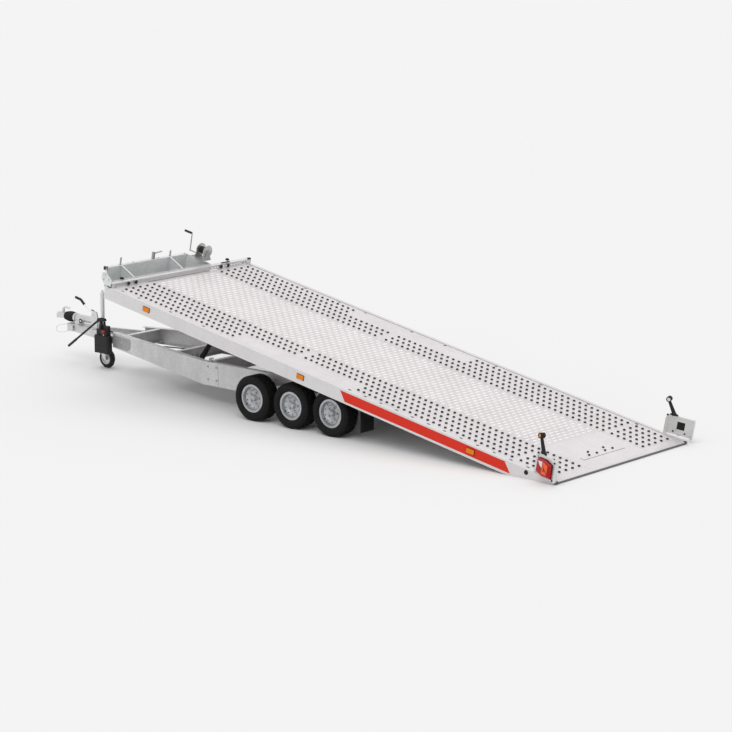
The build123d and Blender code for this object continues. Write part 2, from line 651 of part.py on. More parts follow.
barrel = rod(along(26), along(BARREL_L), BARREL_R) + rod(along(BARREL_L - 22), along(BARREL_L), BARREL_R + 4)
barrel = barrel - rod(along(60), along(BARREL_L + 1), ROD_R + FIT)
barrel = barrel + rod((foot[0], -30, foot[2]), (foot[0], 30, foot[2]), 30)
barrel = barrel - rod((foot[0], -31, foot[2]), (foot[0], 31, foot[2]), 12.5 + FIT)
ram = rod(along(BARREL_L - 30), along(cyl_len - 20), ROD_R)
ram = ram + rod((eye[0], -22, eye[2]), (eye[0], 22, eye[2]), 28)
keep("cylinder_barrel", barrel)
keep("cylinder_rod", ram)

# ---------------------------------------------------------------- bed
def on_bed(shape):
    """Move a shape from the bed's own frame to its place on the tilted bed."""
    return bed_place * shape


def side_rail():
    """Left rail: pressed channel with a level top flange, a chamfered rear end and closed ends."""
    outline = [(0, chamfer_w), (chamfer_u, 0), (BED_L, 0), (BED_L, RAIL_H), (0, RAIL_H)]
    face = make_face(Polyline(*outline, close=True))
    outer = Pos(0, rail_y, 0) * extrude(Plane.XZ * face, RAIL_FLANGE)
    core = offset(face, -RAIL_T, kind=Kind.INTERSECTION)
    body = outer - Pos(0, rail_y - RAIL_T, 0) * extrude(Plane.XZ * core, RAIL_FLANGE)
    return body


keep("side_rails", [on_bed(s) for s in pair(side_rail())])


def lamp_pin():
    """Pivot pin of a lamp bracket, standing on the rail with its collar."""
    foot = (LAMP_PIVOT_U, rail_y - LAMP_PIVOT_IN)
    collar = rod((*foot, RAIL_H), (*foot, LAMP_PLATE_LOW_W - LAMP_GAP), 16)
    return collar + rod((*foot, RAIL_H), (*foot, RAIL_H + 190), LAMP_PIN_R)


def folded_sheet(u, v):
    """Deck sheet between limits in u and v, with both long edges folded down clear of the rear chamfer."""
    top = block(u, v, (deck_w - DECK_T, deck_w))
    fold_u = (max(u[0], FOLD_START_U), u[1])
    edge_a = block(fold_u, (v[0], v[0] + DECK_T), (cross_top_w, deck_w))
    edge_b = block(fold_u, (v[1] - DECK_T, v[1]), (cross_top_w, deck_w))
    return top + edge_a + edge_b


def wheel_track(side, lashing_us):
    """Deck sheet under one row of wheels, with its lashing slots along the outer margin."""
    sheet = folded_sheet((22, deck_front_u), (TRACK_IN_V, rail_y - RAIL_T - 5))
    slot = extrude(SlotOverall(40, 24), 12)
    for u in lashing_us:
        sheet = sheet - Pos(u, lashing_v, deck_w - 8) * slot
    return sheet if side > 0 else mirrored(sheet)


keep("deck_tracks", [on_bed(wheel_track(1, LASHING_LEFT)), on_bed(wheel_track(-1, LASHING_RIGHT))])
keep("deck_centre", on_bed(folded_sheet((REAR_PLATE_U + 2, deck_front_u), (-TRACK_IN_V + 2, TRACK_IN_V - 2))))


def rear_plate():
    """Plain rear deck plate with its drain holes and a hooked groove."""
    plate = folded_sheet((22, REAR_PLATE_U), (-TRACK_IN_V + 2, TRACK_IN_V - 2))
    for u, v in DRAIN_HOLES:
        plate = plate - Pos(u, v, deck_w) * Cylinder(11, 20)
    path = [(253, 325), (200, 339), (196, -317)]
    for (u0, v0), (u1, v1) in zip(path, path[1:]):
        du, dv = u1 - u0, v1 - v0
        run = hypot(du, dv)
        groove = Pos((u0 + u1) / 2, (v0 + v1) / 2, deck_w) * Rot(0, 0, degrees(atan2(dv, du))) * Box(run + 6, 7, 3)
        plate = plate - groove
    return plate


keep("rear_plate", on_bed(rear_plate()))

inner_v = rail_y - RAIL_T


def bed_cross(u, low):
    """Cross-member of the bed: a channel between the rails' webs."""
    bar = block((u - CROSS_W / 2, u + CROSS_W / 2), (-inner_v, inner_v), (low, cross_top_w))
    wall = 4
    if cross_top_w - low < 30:
        return bar
    return bar - block((u - CROSS_W / 2 - 1, u + CROSS_W / 2 - wall), (-inner_v, inner_v), (low + wall, cross_top_w - wall))


cross_us = [PIVOT_U - CROSS_PITCH * k for k in range(1, 5)] + [PIVOT_U]
front_cross_u = PIVOT_U + CROSS_FRONT_GAP
front_cross_count = int((deck_front_u - CROSS_END_GAP - front_cross_u) // CROSS_PITCH) + 1
cross_us += [front_cross_u + CROSS_PITCH * k for k in range(front_cross_count)]
eye_cross_u = min(cross_us, key=lambda u: abs(u - CYL_EYE_U))
lifts = {PIVOT_U: PIVOT_LIFT, eye_cross_u: EYE_LIFT}
crosses = [on_bed(bed_cross(u, CROSS_LOW_W + lifts.get(u, 0))) for u in cross_us]
crosses.append(on_bed(bed_cross(370, 56)))
crosses.append(on_bed(bed_cross(140, 86)))
crosses.append(on_bed(block((BED_L - 90, BED_L - 32), (-inner_v, inner_v), (CROSS_LOW_W, BOX_LOW_W))))
keep("bed_cross_members", crosses)


def pivot_lug():
    """Lug plate from the pivot cross-member down to the pivot shaft."""
    lug = side_link([(PIVOT_U, pivot_w, 30), (PIVOT_U - 12, 46, 8), (PIVOT_U + 18, 46, 10)], 600, 612)
    lug = lug - block((PIVOT_U - 60, PIVOT_U + 60), (590, 620), (CROSS_LOW_W + PIVOT_LIFT, 80))
    return lug - rod((PIVOT_U, 590, pivot_w), (PIVOT_U, 620, pivot_w), PIVOT_R + FIT)


def eye_cheek():
    """Cheek plate either side of the cylinder's rod eye."""
    points = [(CYL_EYE_U - 30, 26), (CYL_EYE_U + 70, 26), (CYL_EYE_U + 70, cross_top_w), (CYL_EYE_U - 70, cross_top_w)]
    return side_plate(points, 32, 42)


eye_top = block((CYL_EYE_U - 90, CYL_EYE_U + 10), (-80, 80), (cross_top_w, deck_w - DECK_T))
bed_cross_at_eye = block((eye_cross_u - CROSS_W / 2, eye_cross_u + CROSS_W / 2), (-60, 60), (CROSS_LOW_W + EYE_LIFT, cross_top_w))
cheeks = [s - bed_cross_at_eye for s in pair(eye_cheek())]
eye_bracket = eye_top + cheeks[0] + cheeks[1]
keep("bed_brackets", [on_bed(s) for s in pair(pivot_lug()) + pair(lamp_pin())], on_bed(eye_bracket))

keep("rear_lip", on_bed(rod((-13, -rail_y + 2, 121), (-13, rail_y - 2, 121), 13)))


def stop_bar():
    """Wheel-stop bar: a hat section across the bed."""
    u0, w0 = bar_u, RAIL_H
    hat = [(u0, w0), (u0 + 6, w0), (u0 + 6, w0 + BAR_H - 4), (u0 + BAR_D - 6, w0 + BAR_H - 4), (u0 + BAR_D - 6, w0),
           (u0 + BAR_D, w0), (u0 + BAR_D, w0 + BAR_H), (u0, w0 + BAR_H)]
    return side_plate(hat, -rail_y + 6, rail_y - 6)


stop_mid_v = (TRACK_IN_V + rail_y) / 2


def stop_plate():
    """Bent stop plate on the bar's rear face, ahead of one wheel track."""
    u1 = bar_u
    bent = [(u1 - 4, deck_w + 1), (u1, deck_w + 1), (u1, RAIL_H + BAR_H - 12), (u1 - 4, RAIL_H + BAR_H - 12)]
    foot = [(u1 - 66, deck_w), (u1 - 4, deck_w), (u1 - 4, deck_w + 4), (u1 - 66, deck_w + 4)]
    v0, v1 = stop_mid_v - 230, stop_mid_v + 230
    return side_plate(bent, v0, v1) + side_plate(foot, v0, v1)


def star_knob(u, v, w):
    """Star knob that clamps a stop plate, with its stem along u."""
    lobes = Pos(0, 0, 0) * Cylinder(17, 14)
    for k in range(5):
        lobes = lobes + Rot(0, 0, 72 * k) * Pos(15, 0, 0) * Cylinder(6, 14)
    return Plane(origin=(u - 11, v, w), z_dir=(-1, 0, 0)) * lobes


knob_w = RAIL_H + BAR_H * 0.6
knobs = [star_knob(bar_u, stop_mid_v + dv, knob_w) for dv in (-70, 70)]
end_cap = block((bar_u - 2, bar_u + BAR_D + 2), (rail_y - 6, rail_y), (RAIL_H, RAIL_H + BAR_H + 2))
keep("wheel_stop_bar", on_bed(stop_bar()), [on_bed(s) for s in pair(stop_plate())])
keep("bar_fittings", [on_bed(s) for one in knobs + [end_cap] for s in pair(one)])


def box_outline(inset):
    """Plan of the front box: wide at the bar, narrower at its front tube."""
    u0, u1 = bar_u + BAR_D + inset, box_front_u - inset
    near0, far0 = box_near_v + BOX_SLANT - 10, BOX_FAR_V - BOX_SLANT
    return [(u0, near0 - inset * 1.2), (u0, far0 + inset * 1.2), (u1, BOX_FAR_V + inset * 1.2), (u1, box_near_v - inset * 1.2)]


def front_box():
    """Open tool trough ahead of the wheel-stop bar, with two dividers and a front tube."""
    shell = plan_plate(box_outline(0), BOX_LOW_W, BOX_TOP_W) - plan_plate(box_outline(3), BOX_LOW_W + 3, BOX_TOP_W + 1)
    slope = side_plate([(bar_u, RAIL_H + BAR_H), (box_front_u, BOX_TOP_W), (box_front_u, 400), (bar_u, 400)], -1200, 1200)
    floor_room = plan_plate(box_outline(2), BOX_LOW_W + 2, BOX_TOP_W)
    for v in (670.0, -60.0):
        shell = shell + (block((bar_u + BAR_D + 4, box_front_u - 2), (v, v + 3), (BOX_LOW_W + 2, BOX_TOP_W)) & floor_room)
    shell = shell - slope
    rail_end = block((bar_u, BED_L + 1), (rail_y - RAIL_FLANGE - 6, rail_y + 1), (0, 300))
    base = block((winch_u - 28, winch_u + 208), (WINCH_V - 62, WINCH_V + 62), (BOX_TOP_W - 34, BOX_TOP_W + 1))
    shell = shell - rail_end - base
    tube = block((box_front_u, box_front_u + 40), (BOX_FAR_V - 12, box_near_v + 8), (BOX_TOP_W - 26, BOX_TOP_W))
    return shell + tube


def box_end_plate():
    """Six-sided plate that ties the box's near end and the bar to the rail, with rounded corners."""
    u0, w0 = bar_u, RAIL_H - 20
    outline = [(u0, w0), (u0 + 110, w0), (u0 + 158, w0 + 70), (u0 + 150, w0 + 140), (u0 + 104, w0 + 168), (u0 - 6, w0 + 90)]
    plate = side_plate(outline, rail_y, rail_y + 4)
    return fillet(plate.edges().filter_by(Axis.Y), 14)


def box_pin(v, height):
    """Locating pin that stands on the front tube."""
    base = (box_front_u + 20, v, BOX_TOP_W)
    return rod(base, (box_front_u + 20, v, BOX_TOP_W + height), 9)


lever_end = (box_front_u - 72, 158, BOX_TOP_W + 84)


def lever_bracket():
    """Two ears on the front tube with a small locking lever."""
    u = box_front_u + 20
    ears = block((u - 14, u + 14), (170, 175), (BOX_TOP_W, BOX_TOP_W + 78))
    ears = ears + block((u - 14, u + 14), (189, 194), (BOX_TOP_W, BOX_TOP_W + 78))
    pin = rod((u, 164, BOX_TOP_W + 62), (u, 200, BOX_TOP_W + 62), 6)
    return ears + pin + rod((u, 165, BOX_TOP_W + 62), lever_end, 6)


near_cap = block((box_front_u - 1, box_front_u + 41), (box_near_v + 8, box_near_v + 14), (BOX_TOP_W - 27, BOX_TOP_W + 1))
lever_grip = rod(lever_end, (lever_end[0] - 55, lever_end[1] - 4, lever_end[2] + 13), 11)
box_pins = [box_pin(670, 80), box_pin(-76, 65)]
keep("front_box", on_bed(front_box()), on_bed(box_end_plate()), [on_bed(p) for p in box_pins], on_bed(lever_bracket()))
keep("box_fittings", on_bed(near_cap), on_bed(lever_grip))


def side_marker(u):
    """Amber side marker lamp on the rail."""
    lamp = block((u - 45, u + 45), (rail_y, rail_y + 11), (52, 97))
    return fillet(lamp.edges().filter_by(Axis.Y), 6)


marker_front_u = BED_L - MARKER_SETBACK
marker_us = (MARKER_REAR_U, (MARKER_REAR_U + marker_front_u) / 2, marker_front_u)
keep("side_markers", [on_bed(s) for u in marker_us for s in pair(side_marker(u))])


def rubber_plug():
    """Rubber plug near the rail's rear end."""
    return rod((326, rail_y, 104), (326, rail_y + 5, 104), 18)


keep("rubber_plugs", [on_bed(s) for s in pair(rubber_plug())])


# ---------------------------------------------------------------- winch
def winch_frame():
    """Winch seat on the box's far wall: base plate and two bearing cheeks."""
    base_w = BOX_TOP_W - 26
    v0, v1 = WINCH_V - 62, WINCH_V + 62
    u_rear, u_front = winch_u - 28, winch_u + 118
    base = block((u_rear, u_front + 90), (v0, v1), (base_w - 8, base_w))
    body = base
    for u in (u_rear, u_front):
        cheek = [(v0, base_w - 4), (v1, base_w - 4), (v1 - 14, WINCH_W - 20), (WINCH_V + 22, WINCH_W + 22), (WINCH_V - 22, WINCH_W + 22),
                 (v0 + 14, WINCH_W - 20)]
        plate = Pos(u, 0, 0) * extrude(Plane.YZ * make_face(Polyline(*cheek, close=True)), 5)
        body = body + plate
    body = body - rod((u_rear - 1, WINCH_V, WINCH_W), (u_front + 8, WINCH_V, WINCH_W), 10 + FIT)
    body = body - rod((u_rear - 1, WINCH_V, CRANK_W), (u_front + 8, WINCH_V, CRANK_W), 8 + FIT)
    return body


def toothed(u0, v, w, pitch_r, teeth, phase):
    """Spur gear with straight-flanked teeth, its axis along u, 10 mm wide from u0."""
    module = 2 * pitch_r / teeth
    step = 2 * pi / teeth
    points = []
    for k in range(teeth):
        mid = phase + k * step
        for share, radius in ((-0.30, -1.25), (-0.12, 0.85), (0.12, 0.85), (0.30, -1.25)):
            angle, r = mid + share * step, pitch_r + radius * module
            points.append((r * cos(angle), r * sin(angle)))
    face = Plane(origin=(u0, v, w), x_dir=(0, 1, 0), z_dir=(1, 0, 0)) * make_face(Polyline(*points, close=True))
    return extrude(face, GEAR_WIDTH)


gear_u = winch_u + 98
pinion_r = (WINCH_W - CRANK_W) / (GEAR_TEETH / PINION_TEETH + 1)
gear_r = WINCH_W - CRANK_W - pinion_r


def winch_drum():
    """Drum with its two flanges, shaft and driven gear."""
    u0 = winch_u - 20
    shaft = rod((winch_u - 34, WINCH_V, WINCH_W), (winch_u + 130, WINCH_V, WINCH_W), 10)
    body = shaft + rod((u0, WINCH_V, WINCH_W), (u0 + 5, WINCH_V, WINCH_W), DRUM_R)
    body = body + rod((u0 + 100, WINCH_V, WINCH_W), (u0 + 105, WINCH_V, WINCH_W), DRUM_R)
    body = body + rod((u0, WINCH_V, WINCH_W), (u0 + 105, WINCH_V, WINCH_W), 38)
    return body + toothed(gear_u, WINCH_V, WINCH_W, gear_r, GEAR_TEETH, -pi / 2)


def winch_crank():
    """Crank with its shaft, arm and grip, ahead of the front cheek."""
    arm_u = winch_u + 245
    body = rod((gear_u - 4, WINCH_V, CRANK_W), (arm_u + 4, WINCH_V, CRANK_W), 8)
    body = body + toothed(gear_u, WINCH_V, CRANK_W, pinion_r, PINION_TEETH, pi / 2 + pi / PINION_TEETH)
    body = body + rod((arm_u, WINCH_V, CRANK_W - 8), (arm_u, WINCH_V, CRANK_W + CRANK_ARM), 7)
    return body + rod((arm_u, WINCH_V, CRANK_W + CRANK_ARM - 10), (arm_u + 112, WINCH_V, CRANK_W + CRANK_ARM - 10), 5)


def crank_grip():
    """Plastic grip on the crank."""
    u0, w = winch_u + 245 + 8, CRANK_W + CRANK_ARM - 10
    grip = rod((u0, WINCH_V, w), (u0 + 100, WINCH_V, w), 13)
    return grip - rod((u0 - 1, WINCH_V, w), (u0 + 101, WINCH_V, w), 5)


keep("winch_frame", on_bed(winch_frame()))
keep("winch_drum", on_bed(winch_drum()))
keep("winch_crank", on_bed(winch_crank()))
keep("crank_grip", on_bed(crank_grip()))

# ---------------------------------------------------------------- lamp brackets
lamp_pin_v = rail_y - LAMP_PIVOT_IN


def on_lamp(shape):
    """Place a shape drawn with the bracket running to -u from its pivot, outer face to +v."""
    return Pos(LAMP_PIVOT_U, lamp_pin_v, 0) * Rot(0, 0, -LAMP_SPLAY) * shape


def lamp_bracket():
    """Swinging lamp plate with folded edges and its hinge sleeve."""
    low, high = LAMP_PLATE_LOW_W, LAMP_PLATE_LOW_W + LAMP_PLATE_H
    length = LAMP_PLATE_L
    plate = block((-length, -8), (-4, 0), (low, high))
    plate = plate + block((-length, -length + 4), (-40, 0), (low, high)) + block((-length, -20), (-28, 0), (high - 4, high))
    sleeve = Pos(0, 0, low) * Cylinder(16, 150, align=(Align.CENTER, Align.CENTER, Align.MIN))
    bore = Pos(0, 0, low - 1) * Cylinder(LAMP_PIN_R + FIT, 200, align=(Align.CENTER, Align.CENTER, Align.MIN))
    body = plate + sleeve - bore
    window = block((-190, -110), (-10, 10), (low + 58, low + 138))
    foot = block((-length, -length + 26), (-30, -4), (low - 8, low))
    return on_lamp(body - window), on_lamp(foot)


def tail_lamp():
    """Faceted tail lamp on the bracket's outer face, and the outline marker on its rubber arm."""
    low, high = LAMP_PLATE_LOW_W, LAMP_PLATE_LOW_W + LAMP_PLATE_H
    base = [(-258, low + 24), (-250, low + 150), (-150, low + 168), (-38, low + 150), (-26, low + 20), (-140, low + 4)]
    crown = [(-225, low + 42), (-222, low + 132), (-150, low + 142), (-66, low + 132), (-62, low + 38), (-140, low + 26)]
    back = Plane(origin=(0, 0, 0), x_dir=(1, 0, 0), z_dir=(0, -1, 0)) * make_face(Polyline(*base, close=True))
    front = Plane(origin=(0, 44, 0), x_dir=(1, 0, 0), z_dir=(0, -1, 0)) * make_face(Polyline(*crown, close=True))
    return on_lamp(loft([back, front]))


def outline_marker():
    """Outline marker: rubber arm from the plate's top edge and a round lamp head."""
    high = LAMP_PLATE_LOW_W + LAMP_PLATE_H
    base = block((-96, -52), (-22, 0), (high, high + 12))
    arm = rod((-74, -11, high + 8), (10, -11, high + 140), 9)
    head = rod((12, -38, high + 152), (12, 16, high + 152), 27)
    return on_lamp(base + arm + head)


for side_name, side in sides.items():
    turn = (lambda s: s) if side > 0 else mirrored
    bracket, foot_pad = lamp_bracket()
    keep(f"lamp_bracket_{side_name}", on_bed(turn(bracket)), on_bed(turn(foot_pad)))
    keep(f"tail_lamp_{side_name}", on_bed(turn(tail_lamp())))
    keep(f"outline_marker_{side_name}", on_bed(turn(outline_marker())))

# ---------------------------------------------------------------- saving
boxes = [shape.bounding_box() for name, shape in parts.items() if name != "breakaway_cable"]
x_min, x_max = min(b.min.X for b in boxes), max(b.max.X for b in boxes)
shift = -(x_min + x_max) / 2
os.makedirs("parts", exist_ok=True)
for name, shape in parts.items():
    export_step(Pos(shift, 0, 0) * shape, f"parts/{name}.step")

closed_eye = turned_about_pivot(eye, TILT)
closed_len = hypot(closed_eye[0] - foot[0], closed_eye[2] - foot[2])
open_angle = atan2(eye[2] - foot[2], eye[0] - foot[0])
closed_angle = atan2(closed_eye[2] - foot[2], closed_eye[0] - foot[0])
for axis in "XYZ":
    low, high = min(getattr(b.min, axis) for b in boxes), max(getattr(b.max, axis) for b in boxes)
    print("box", axis, round(low, 2), round(high, 2))
print("shift", round(shift, 3))
for label, point in {
    "pivot": (PIVOT_X, 0, PIVOT_Z), "cylinder foot": foot, "cylinder eye": eye, "jockey": (JOCKEY_X, JOCKEY_Y, crown_z),
    "jockey axle": (JOCKEY_X - JOCKEY_TRAIL, JOCKEY_Y, JOCKEY_WHEEL_R), "coupling": (COUPLING_X, 0, COUPLING_Z),
    "drum": bed_point(winch_u, WINCH_V, WINCH_W), "crank": bed_point(winch_u, WINCH_V, CRANK_W),
    "lamp left": bed_point(LAMP_PIVOT_U, lamp_pin_v, RAIL_H), "deck": bed_point(3000, 0, deck_w),
}.items():
    print("POINT", label, [round((v + (shift if i == 0 else 0)) / 1000, 6) for i, v in enumerate(point)])
print("bed forward", (round(c_t, 6), 0, round(s_t, 6)), "bed up", (round(-s_t, 6), 0, round(c_t, 6)))
print("cylinder direction", cyl_dir, "open", cyl_len, "closed", closed_len, "stroke", cyl_len - closed_len)
print("barrel turns", round(degrees(closed_angle - open_angle), 3), "ratio", (closed_angle - open_angle) / radians(TILT))
print("rod ratio m/rad", (closed_len - cyl_len) / 1000 / radians(TILT))
print("transport height of rail", round(PIVOT_Z - pivot_w, 1), "cross-member underside", round(PIVOT_Z - pivot_w + CROSS_LOW_W, 1))
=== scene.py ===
"""Three-axle tilting car transporter trailer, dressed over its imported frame.

Every piece stands in metres at the place the frame gives it and rides on one of the frame's bodies.
"""

import json
import logging
import math
from dataclasses import dataclass, field
from enum import Enum
from functools import cache
from typing import Sequence

import bmesh
import bpy
from mathutils import Matrix, Vector


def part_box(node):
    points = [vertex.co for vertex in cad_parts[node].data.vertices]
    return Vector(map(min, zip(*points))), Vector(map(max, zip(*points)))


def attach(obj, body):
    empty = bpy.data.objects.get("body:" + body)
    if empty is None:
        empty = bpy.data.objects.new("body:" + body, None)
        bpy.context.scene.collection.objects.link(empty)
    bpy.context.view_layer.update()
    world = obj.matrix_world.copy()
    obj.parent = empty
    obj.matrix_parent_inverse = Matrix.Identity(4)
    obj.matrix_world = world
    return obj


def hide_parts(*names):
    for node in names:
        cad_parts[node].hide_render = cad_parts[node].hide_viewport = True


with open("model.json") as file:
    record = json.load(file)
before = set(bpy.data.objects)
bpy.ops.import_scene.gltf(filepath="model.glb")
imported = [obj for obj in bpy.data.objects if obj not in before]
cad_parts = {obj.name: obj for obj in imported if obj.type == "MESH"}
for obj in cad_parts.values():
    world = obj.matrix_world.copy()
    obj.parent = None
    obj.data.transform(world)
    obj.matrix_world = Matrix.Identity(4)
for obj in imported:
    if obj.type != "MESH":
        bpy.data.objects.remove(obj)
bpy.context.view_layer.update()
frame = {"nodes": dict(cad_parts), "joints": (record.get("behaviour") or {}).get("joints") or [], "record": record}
log = logging.getLogger("trailer")

Pair = tuple[float, float]
Triple = tuple[float, float, float]
Socket = bpy.types.NodeSocket
Piece = bpy.types.Object
Mesh = bpy.types.Mesh
X, Y, Z = Vector((1, 0, 0)), Vector((0, 1, 0)), Vector((0, 0, 1))


# ---------------------------------------------------------------- places
class Side(Enum):
    """Side of the trailer, seen from behind, with its sign along Y."""

    LEFT = 1
    RIGHT = -1

    @property
    def word(self) -> str:
        """Name of the side as the frame's nodes spell it."""
        return self.name.lower()

    @property
    def out(self) -> Vector:
        """Direction away from the middle of the trailer."""
        return Vector((0, self.value, 0))

    def span(self, inner: float, outer: float) -> Pair:
        """Lowest and highest Y between two distances from the middle."""
        low, high = sorted((self.value * inner, self.value * outer))
        return low, high


def joint_named(name: str) -> dict:
    """The frame's row of a joint, by the joint's name."""
    return next(row for row in frame["joints"] if row["name"] == name)


@dataclass(frozen=True)
class Places:
    """Turns workshop drawings in millimetres into places in the frame."""

    pivot: Vector
    tilt: float
    pivot_x: float = -660.0
    pivot_u: float = 2715.0
    lip_w: float = 103.0
    ground: float = 0.0005

    @classmethod
    def from_frame(cls) -> "Places":
        """Read the tilt hinge's place and range."""
        row = joint_named("bed_tilt")
        return cls(Vector(row["pos_m"]), math.radians(row["range_deg"][1]))

    @property
    def chassis(self) -> Matrix:
        """Drawing of the chassis, X forward and Z up, to the frame."""
        return Matrix.Translation((self.pivot.x - self.pivot_x / 1000, 0, 0))

    @property
    def bed(self) -> Matrix:
        """Drawing of the bed, u forward, v left and w up from the rail's lower edge, to the frame."""
        c, s = math.cos(self.tilt), math.sin(self.tilt)
        forward, up = Vector((c, 0, s)), Vector((-s, 0, c))
        bed_z = self.ground - self.lip_w / 1000 * c
        reach = self.pivot_u / 1000
        pivot_w = (self.pivot.z - bed_z - reach * s) / c
        origin = self.pivot - reach * forward - pivot_w * up
        turn = Matrix((forward, Y, up)).transposed().to_4x4()
        return Matrix.Translation(origin) @ turn


PLACES = Places.from_frame()
CHASSIS = PLACES.chassis
BED = PLACES.bed
AHEAD = BED.to_3x3() @ X
MM = 0.001


def mm(*values: float) -> Vector:
    """Millimetres of a drawing as a vector in metres."""
    return Vector(values) * MM


def axes(origin: Vector, x_dir: Vector, z_dir: Vector) -> Matrix:
    """Build a place from its origin and two directions.

    Args:
        origin: Where the place starts.
        x_dir: Its first direction, made square to the third.
        z_dir: Its third direction.

    Returns:
        The place's matrix.
    """
    z = z_dir.normalized()
    x = (x_dir - x_dir.dot(z) * z).normalized()
    y = z.cross(x)
    return Matrix.Translation(origin) @ Matrix((x, y, z)).transposed().to_4x4()


def scaled(outline: Sequence[Pair], flip: int = 1) -> list[Pair]:
    """Outline in millimetres turned to metres, its second numbers multiplied by flip."""
    return [(a * MM, b * flip * MM) for a, b in outline]


def band(low: float, high: float, outer: float, inner: float = 0.0) -> list[Pair]:
    """Outline to turn a plain pin or ring from.

    Args:
        low: Height of its foot.
        high: Height of its top.
        outer: Its radius.
        inner: Radius of its bore, or 0.

    Returns:
        Closed loop of (radius, height) pairs.
    """
    return [(inner, low), (outer, low), (outer, high), (inner, high)]


# ---------------------------------------------------------------- shaping by hand
class Blank:
    """A mesh being shaped in metres, at the place where it ends up."""

    def __init__(self) -> None:
        """Start with nothing."""
        self.bm = bmesh.new()

    def prism(self, place: Matrix, outline: Sequence[Pair], low: float, high: float, slot: int = 0) -> None:
        """Add a plate between two heights, cut to an anticlockwise outline on the place's XY plane."""
        self.skin([[place @ Vector((x, y, height)) for x, y in outline] for height in (low, high)], slot)

    def box(self, place: Matrix, low: Triple, high: Triple, edge: float = 0.0, slot: int = 0) -> None:
        """Add a block with its upright corners cut back.

        Args:
            place: Matrix of the block's own axes.
            low: Lowest corner.
            high: Highest corner.
            edge: How far each upright corner is cut back.
            slot: Material slot of its faces.
        """
        (x0, y0, z0), (x1, y1, z1) = low, high
        if edge <= 0:
            outline = [(x0, y0), (x1, y0), (x1, y1), (x0, y1)]
        else:
            xa, xb, ya, yb = x0 + edge, x1 - edge, y0 + edge, y1 - edge
            outline = [(xa, y0), (xb, y0), (x1, ya), (x1, yb), (xb, y1), (xa, y1), (x0, yb), (x0, ya)]
        self.prism(place, outline, z0, z1, slot)

    def skin(self, rings: Sequence[Sequence[Vector]], slot: int = 0) -> None:
        """Add a closed shape through rings of as many points each.

        Args:
            rings: Rings of places in the frame, from back to front.
            slot: Material slot of its faces.
        """
        rows = [[self.bm.verts.new(point) for point in ring] for ring in rings]
        faces = [self.bm.faces.new(rows[0][::-1]), self.bm.faces.new(rows[-1])]
        for a, b in zip(rows, rows[1:]):
            for k in range(len(a)):
                m = (k + 1) % len(a)
                faces.append(self.bm.faces.new((a[k], a[m], b[m], b[k])))
        for face in faces:
            face.material_index = slot

    def turned(self, place: Matrix, outline: Sequence[Pair], sides: int, slot: int = 0) -> None:
        """Add a shape turned round the place's Z axis.

        Args:
            place: Matrix whose Z axis is the axis of turning.
            outline: Closed loop of (radius, height) pairs in metres.
            sides: How many flats go round.
            slot: Material slot of its faces.
        """
        hubs = {k: self.bm.verts.new(place @ Vector((0, 0, h)))
                for k, (r, h) in enumerate(outline) if r < 1e-7}
        rings = []
        for j in range(sides):
            angle = math.tau * j / sides
            c, s = math.cos(angle), math.sin(angle)
            rings.append([hubs[k] if k in hubs else self.bm.verts.new(place @ Vector((r * c, r * s, h)))
                          for k, (r, h) in enumerate(outline)])
        for j in range(sides):
            a, b = rings[j], rings[(j + 1) % sides]
            for k in range(len(outline)):
                m = (k + 1) % len(outline)
                corners = list(dict.fromkeys((a[k], b[k], b[m], a[m])))
                if len(corners) > 2:
                    self.bm.faces.new(corners).material_index = slot

    def bar(self, points: Sequence[Vector], radius: float, sides: int = 12, slot: int = 0) -> None:
        """Add a round bar or tube run through points, closed at both ends.

        Args:
            points: Places along its middle, in the frame.
            radius: Its radius in metres.
            sides: How many flats go round.
            slot: Material slot of its faces.
        """
        last, rings = len(points) - 1, []
        normal = (points[1] - points[0]).orthogonal().normalized()
        for k, point in enumerate(points):
            ahead = (points[min(k + 1, last)] - points[max(k - 1, 0)]).normalized()
            normal = (normal - normal.dot(ahead) * ahead).normalized()
            side = ahead.cross(normal)
            turns = [math.tau * j / sides for j in range(sides)]
            rings.append([point + radius * (math.cos(t) * normal + math.sin(t) * side) for t in turns])
        self.skin(rings, slot)

    def join_mesh(self, mesh: Mesh, place: Matrix) -> None:
        """Add a finished mesh, moved to a place, and throw the mesh away."""
        mesh.transform(place)
        self.bm.from_mesh(mesh)
        bpy.data.meshes.remove(mesh)

    def piece(self, name: str, body: str, *finishes: "Finish", **look: float) -> Piece:
        """Close the mesh, dress it and let it ride on a body.

        Args:
            name: Name of the piece.
            body: Body of the frame that carries it.
            finishes: One finish for each material slot of the mesh.
            look: Its crease and bevel, as settle takes them.

        Returns:
            The finished object.
        """
        bmesh.ops.remove_doubles(self.bm, verts=self.bm.verts, dist=2e-6)
        bmesh.ops.recalc_face_normals(self.bm, faces=self.bm.faces)
        mesh = bpy.data.meshes.new(name)
        self.bm.to_mesh(mesh)
        self.bm.free()
        return settle(name, mesh, body, *finishes, **look)


def stand(name: str, data: bpy.types.ID) -> Piece:
    """Make an object of its data and put it into the scene."""
    thing = bpy.data.objects.new(name, data)
    bpy.context.scene.collection.objects.link(thing)
    return thing


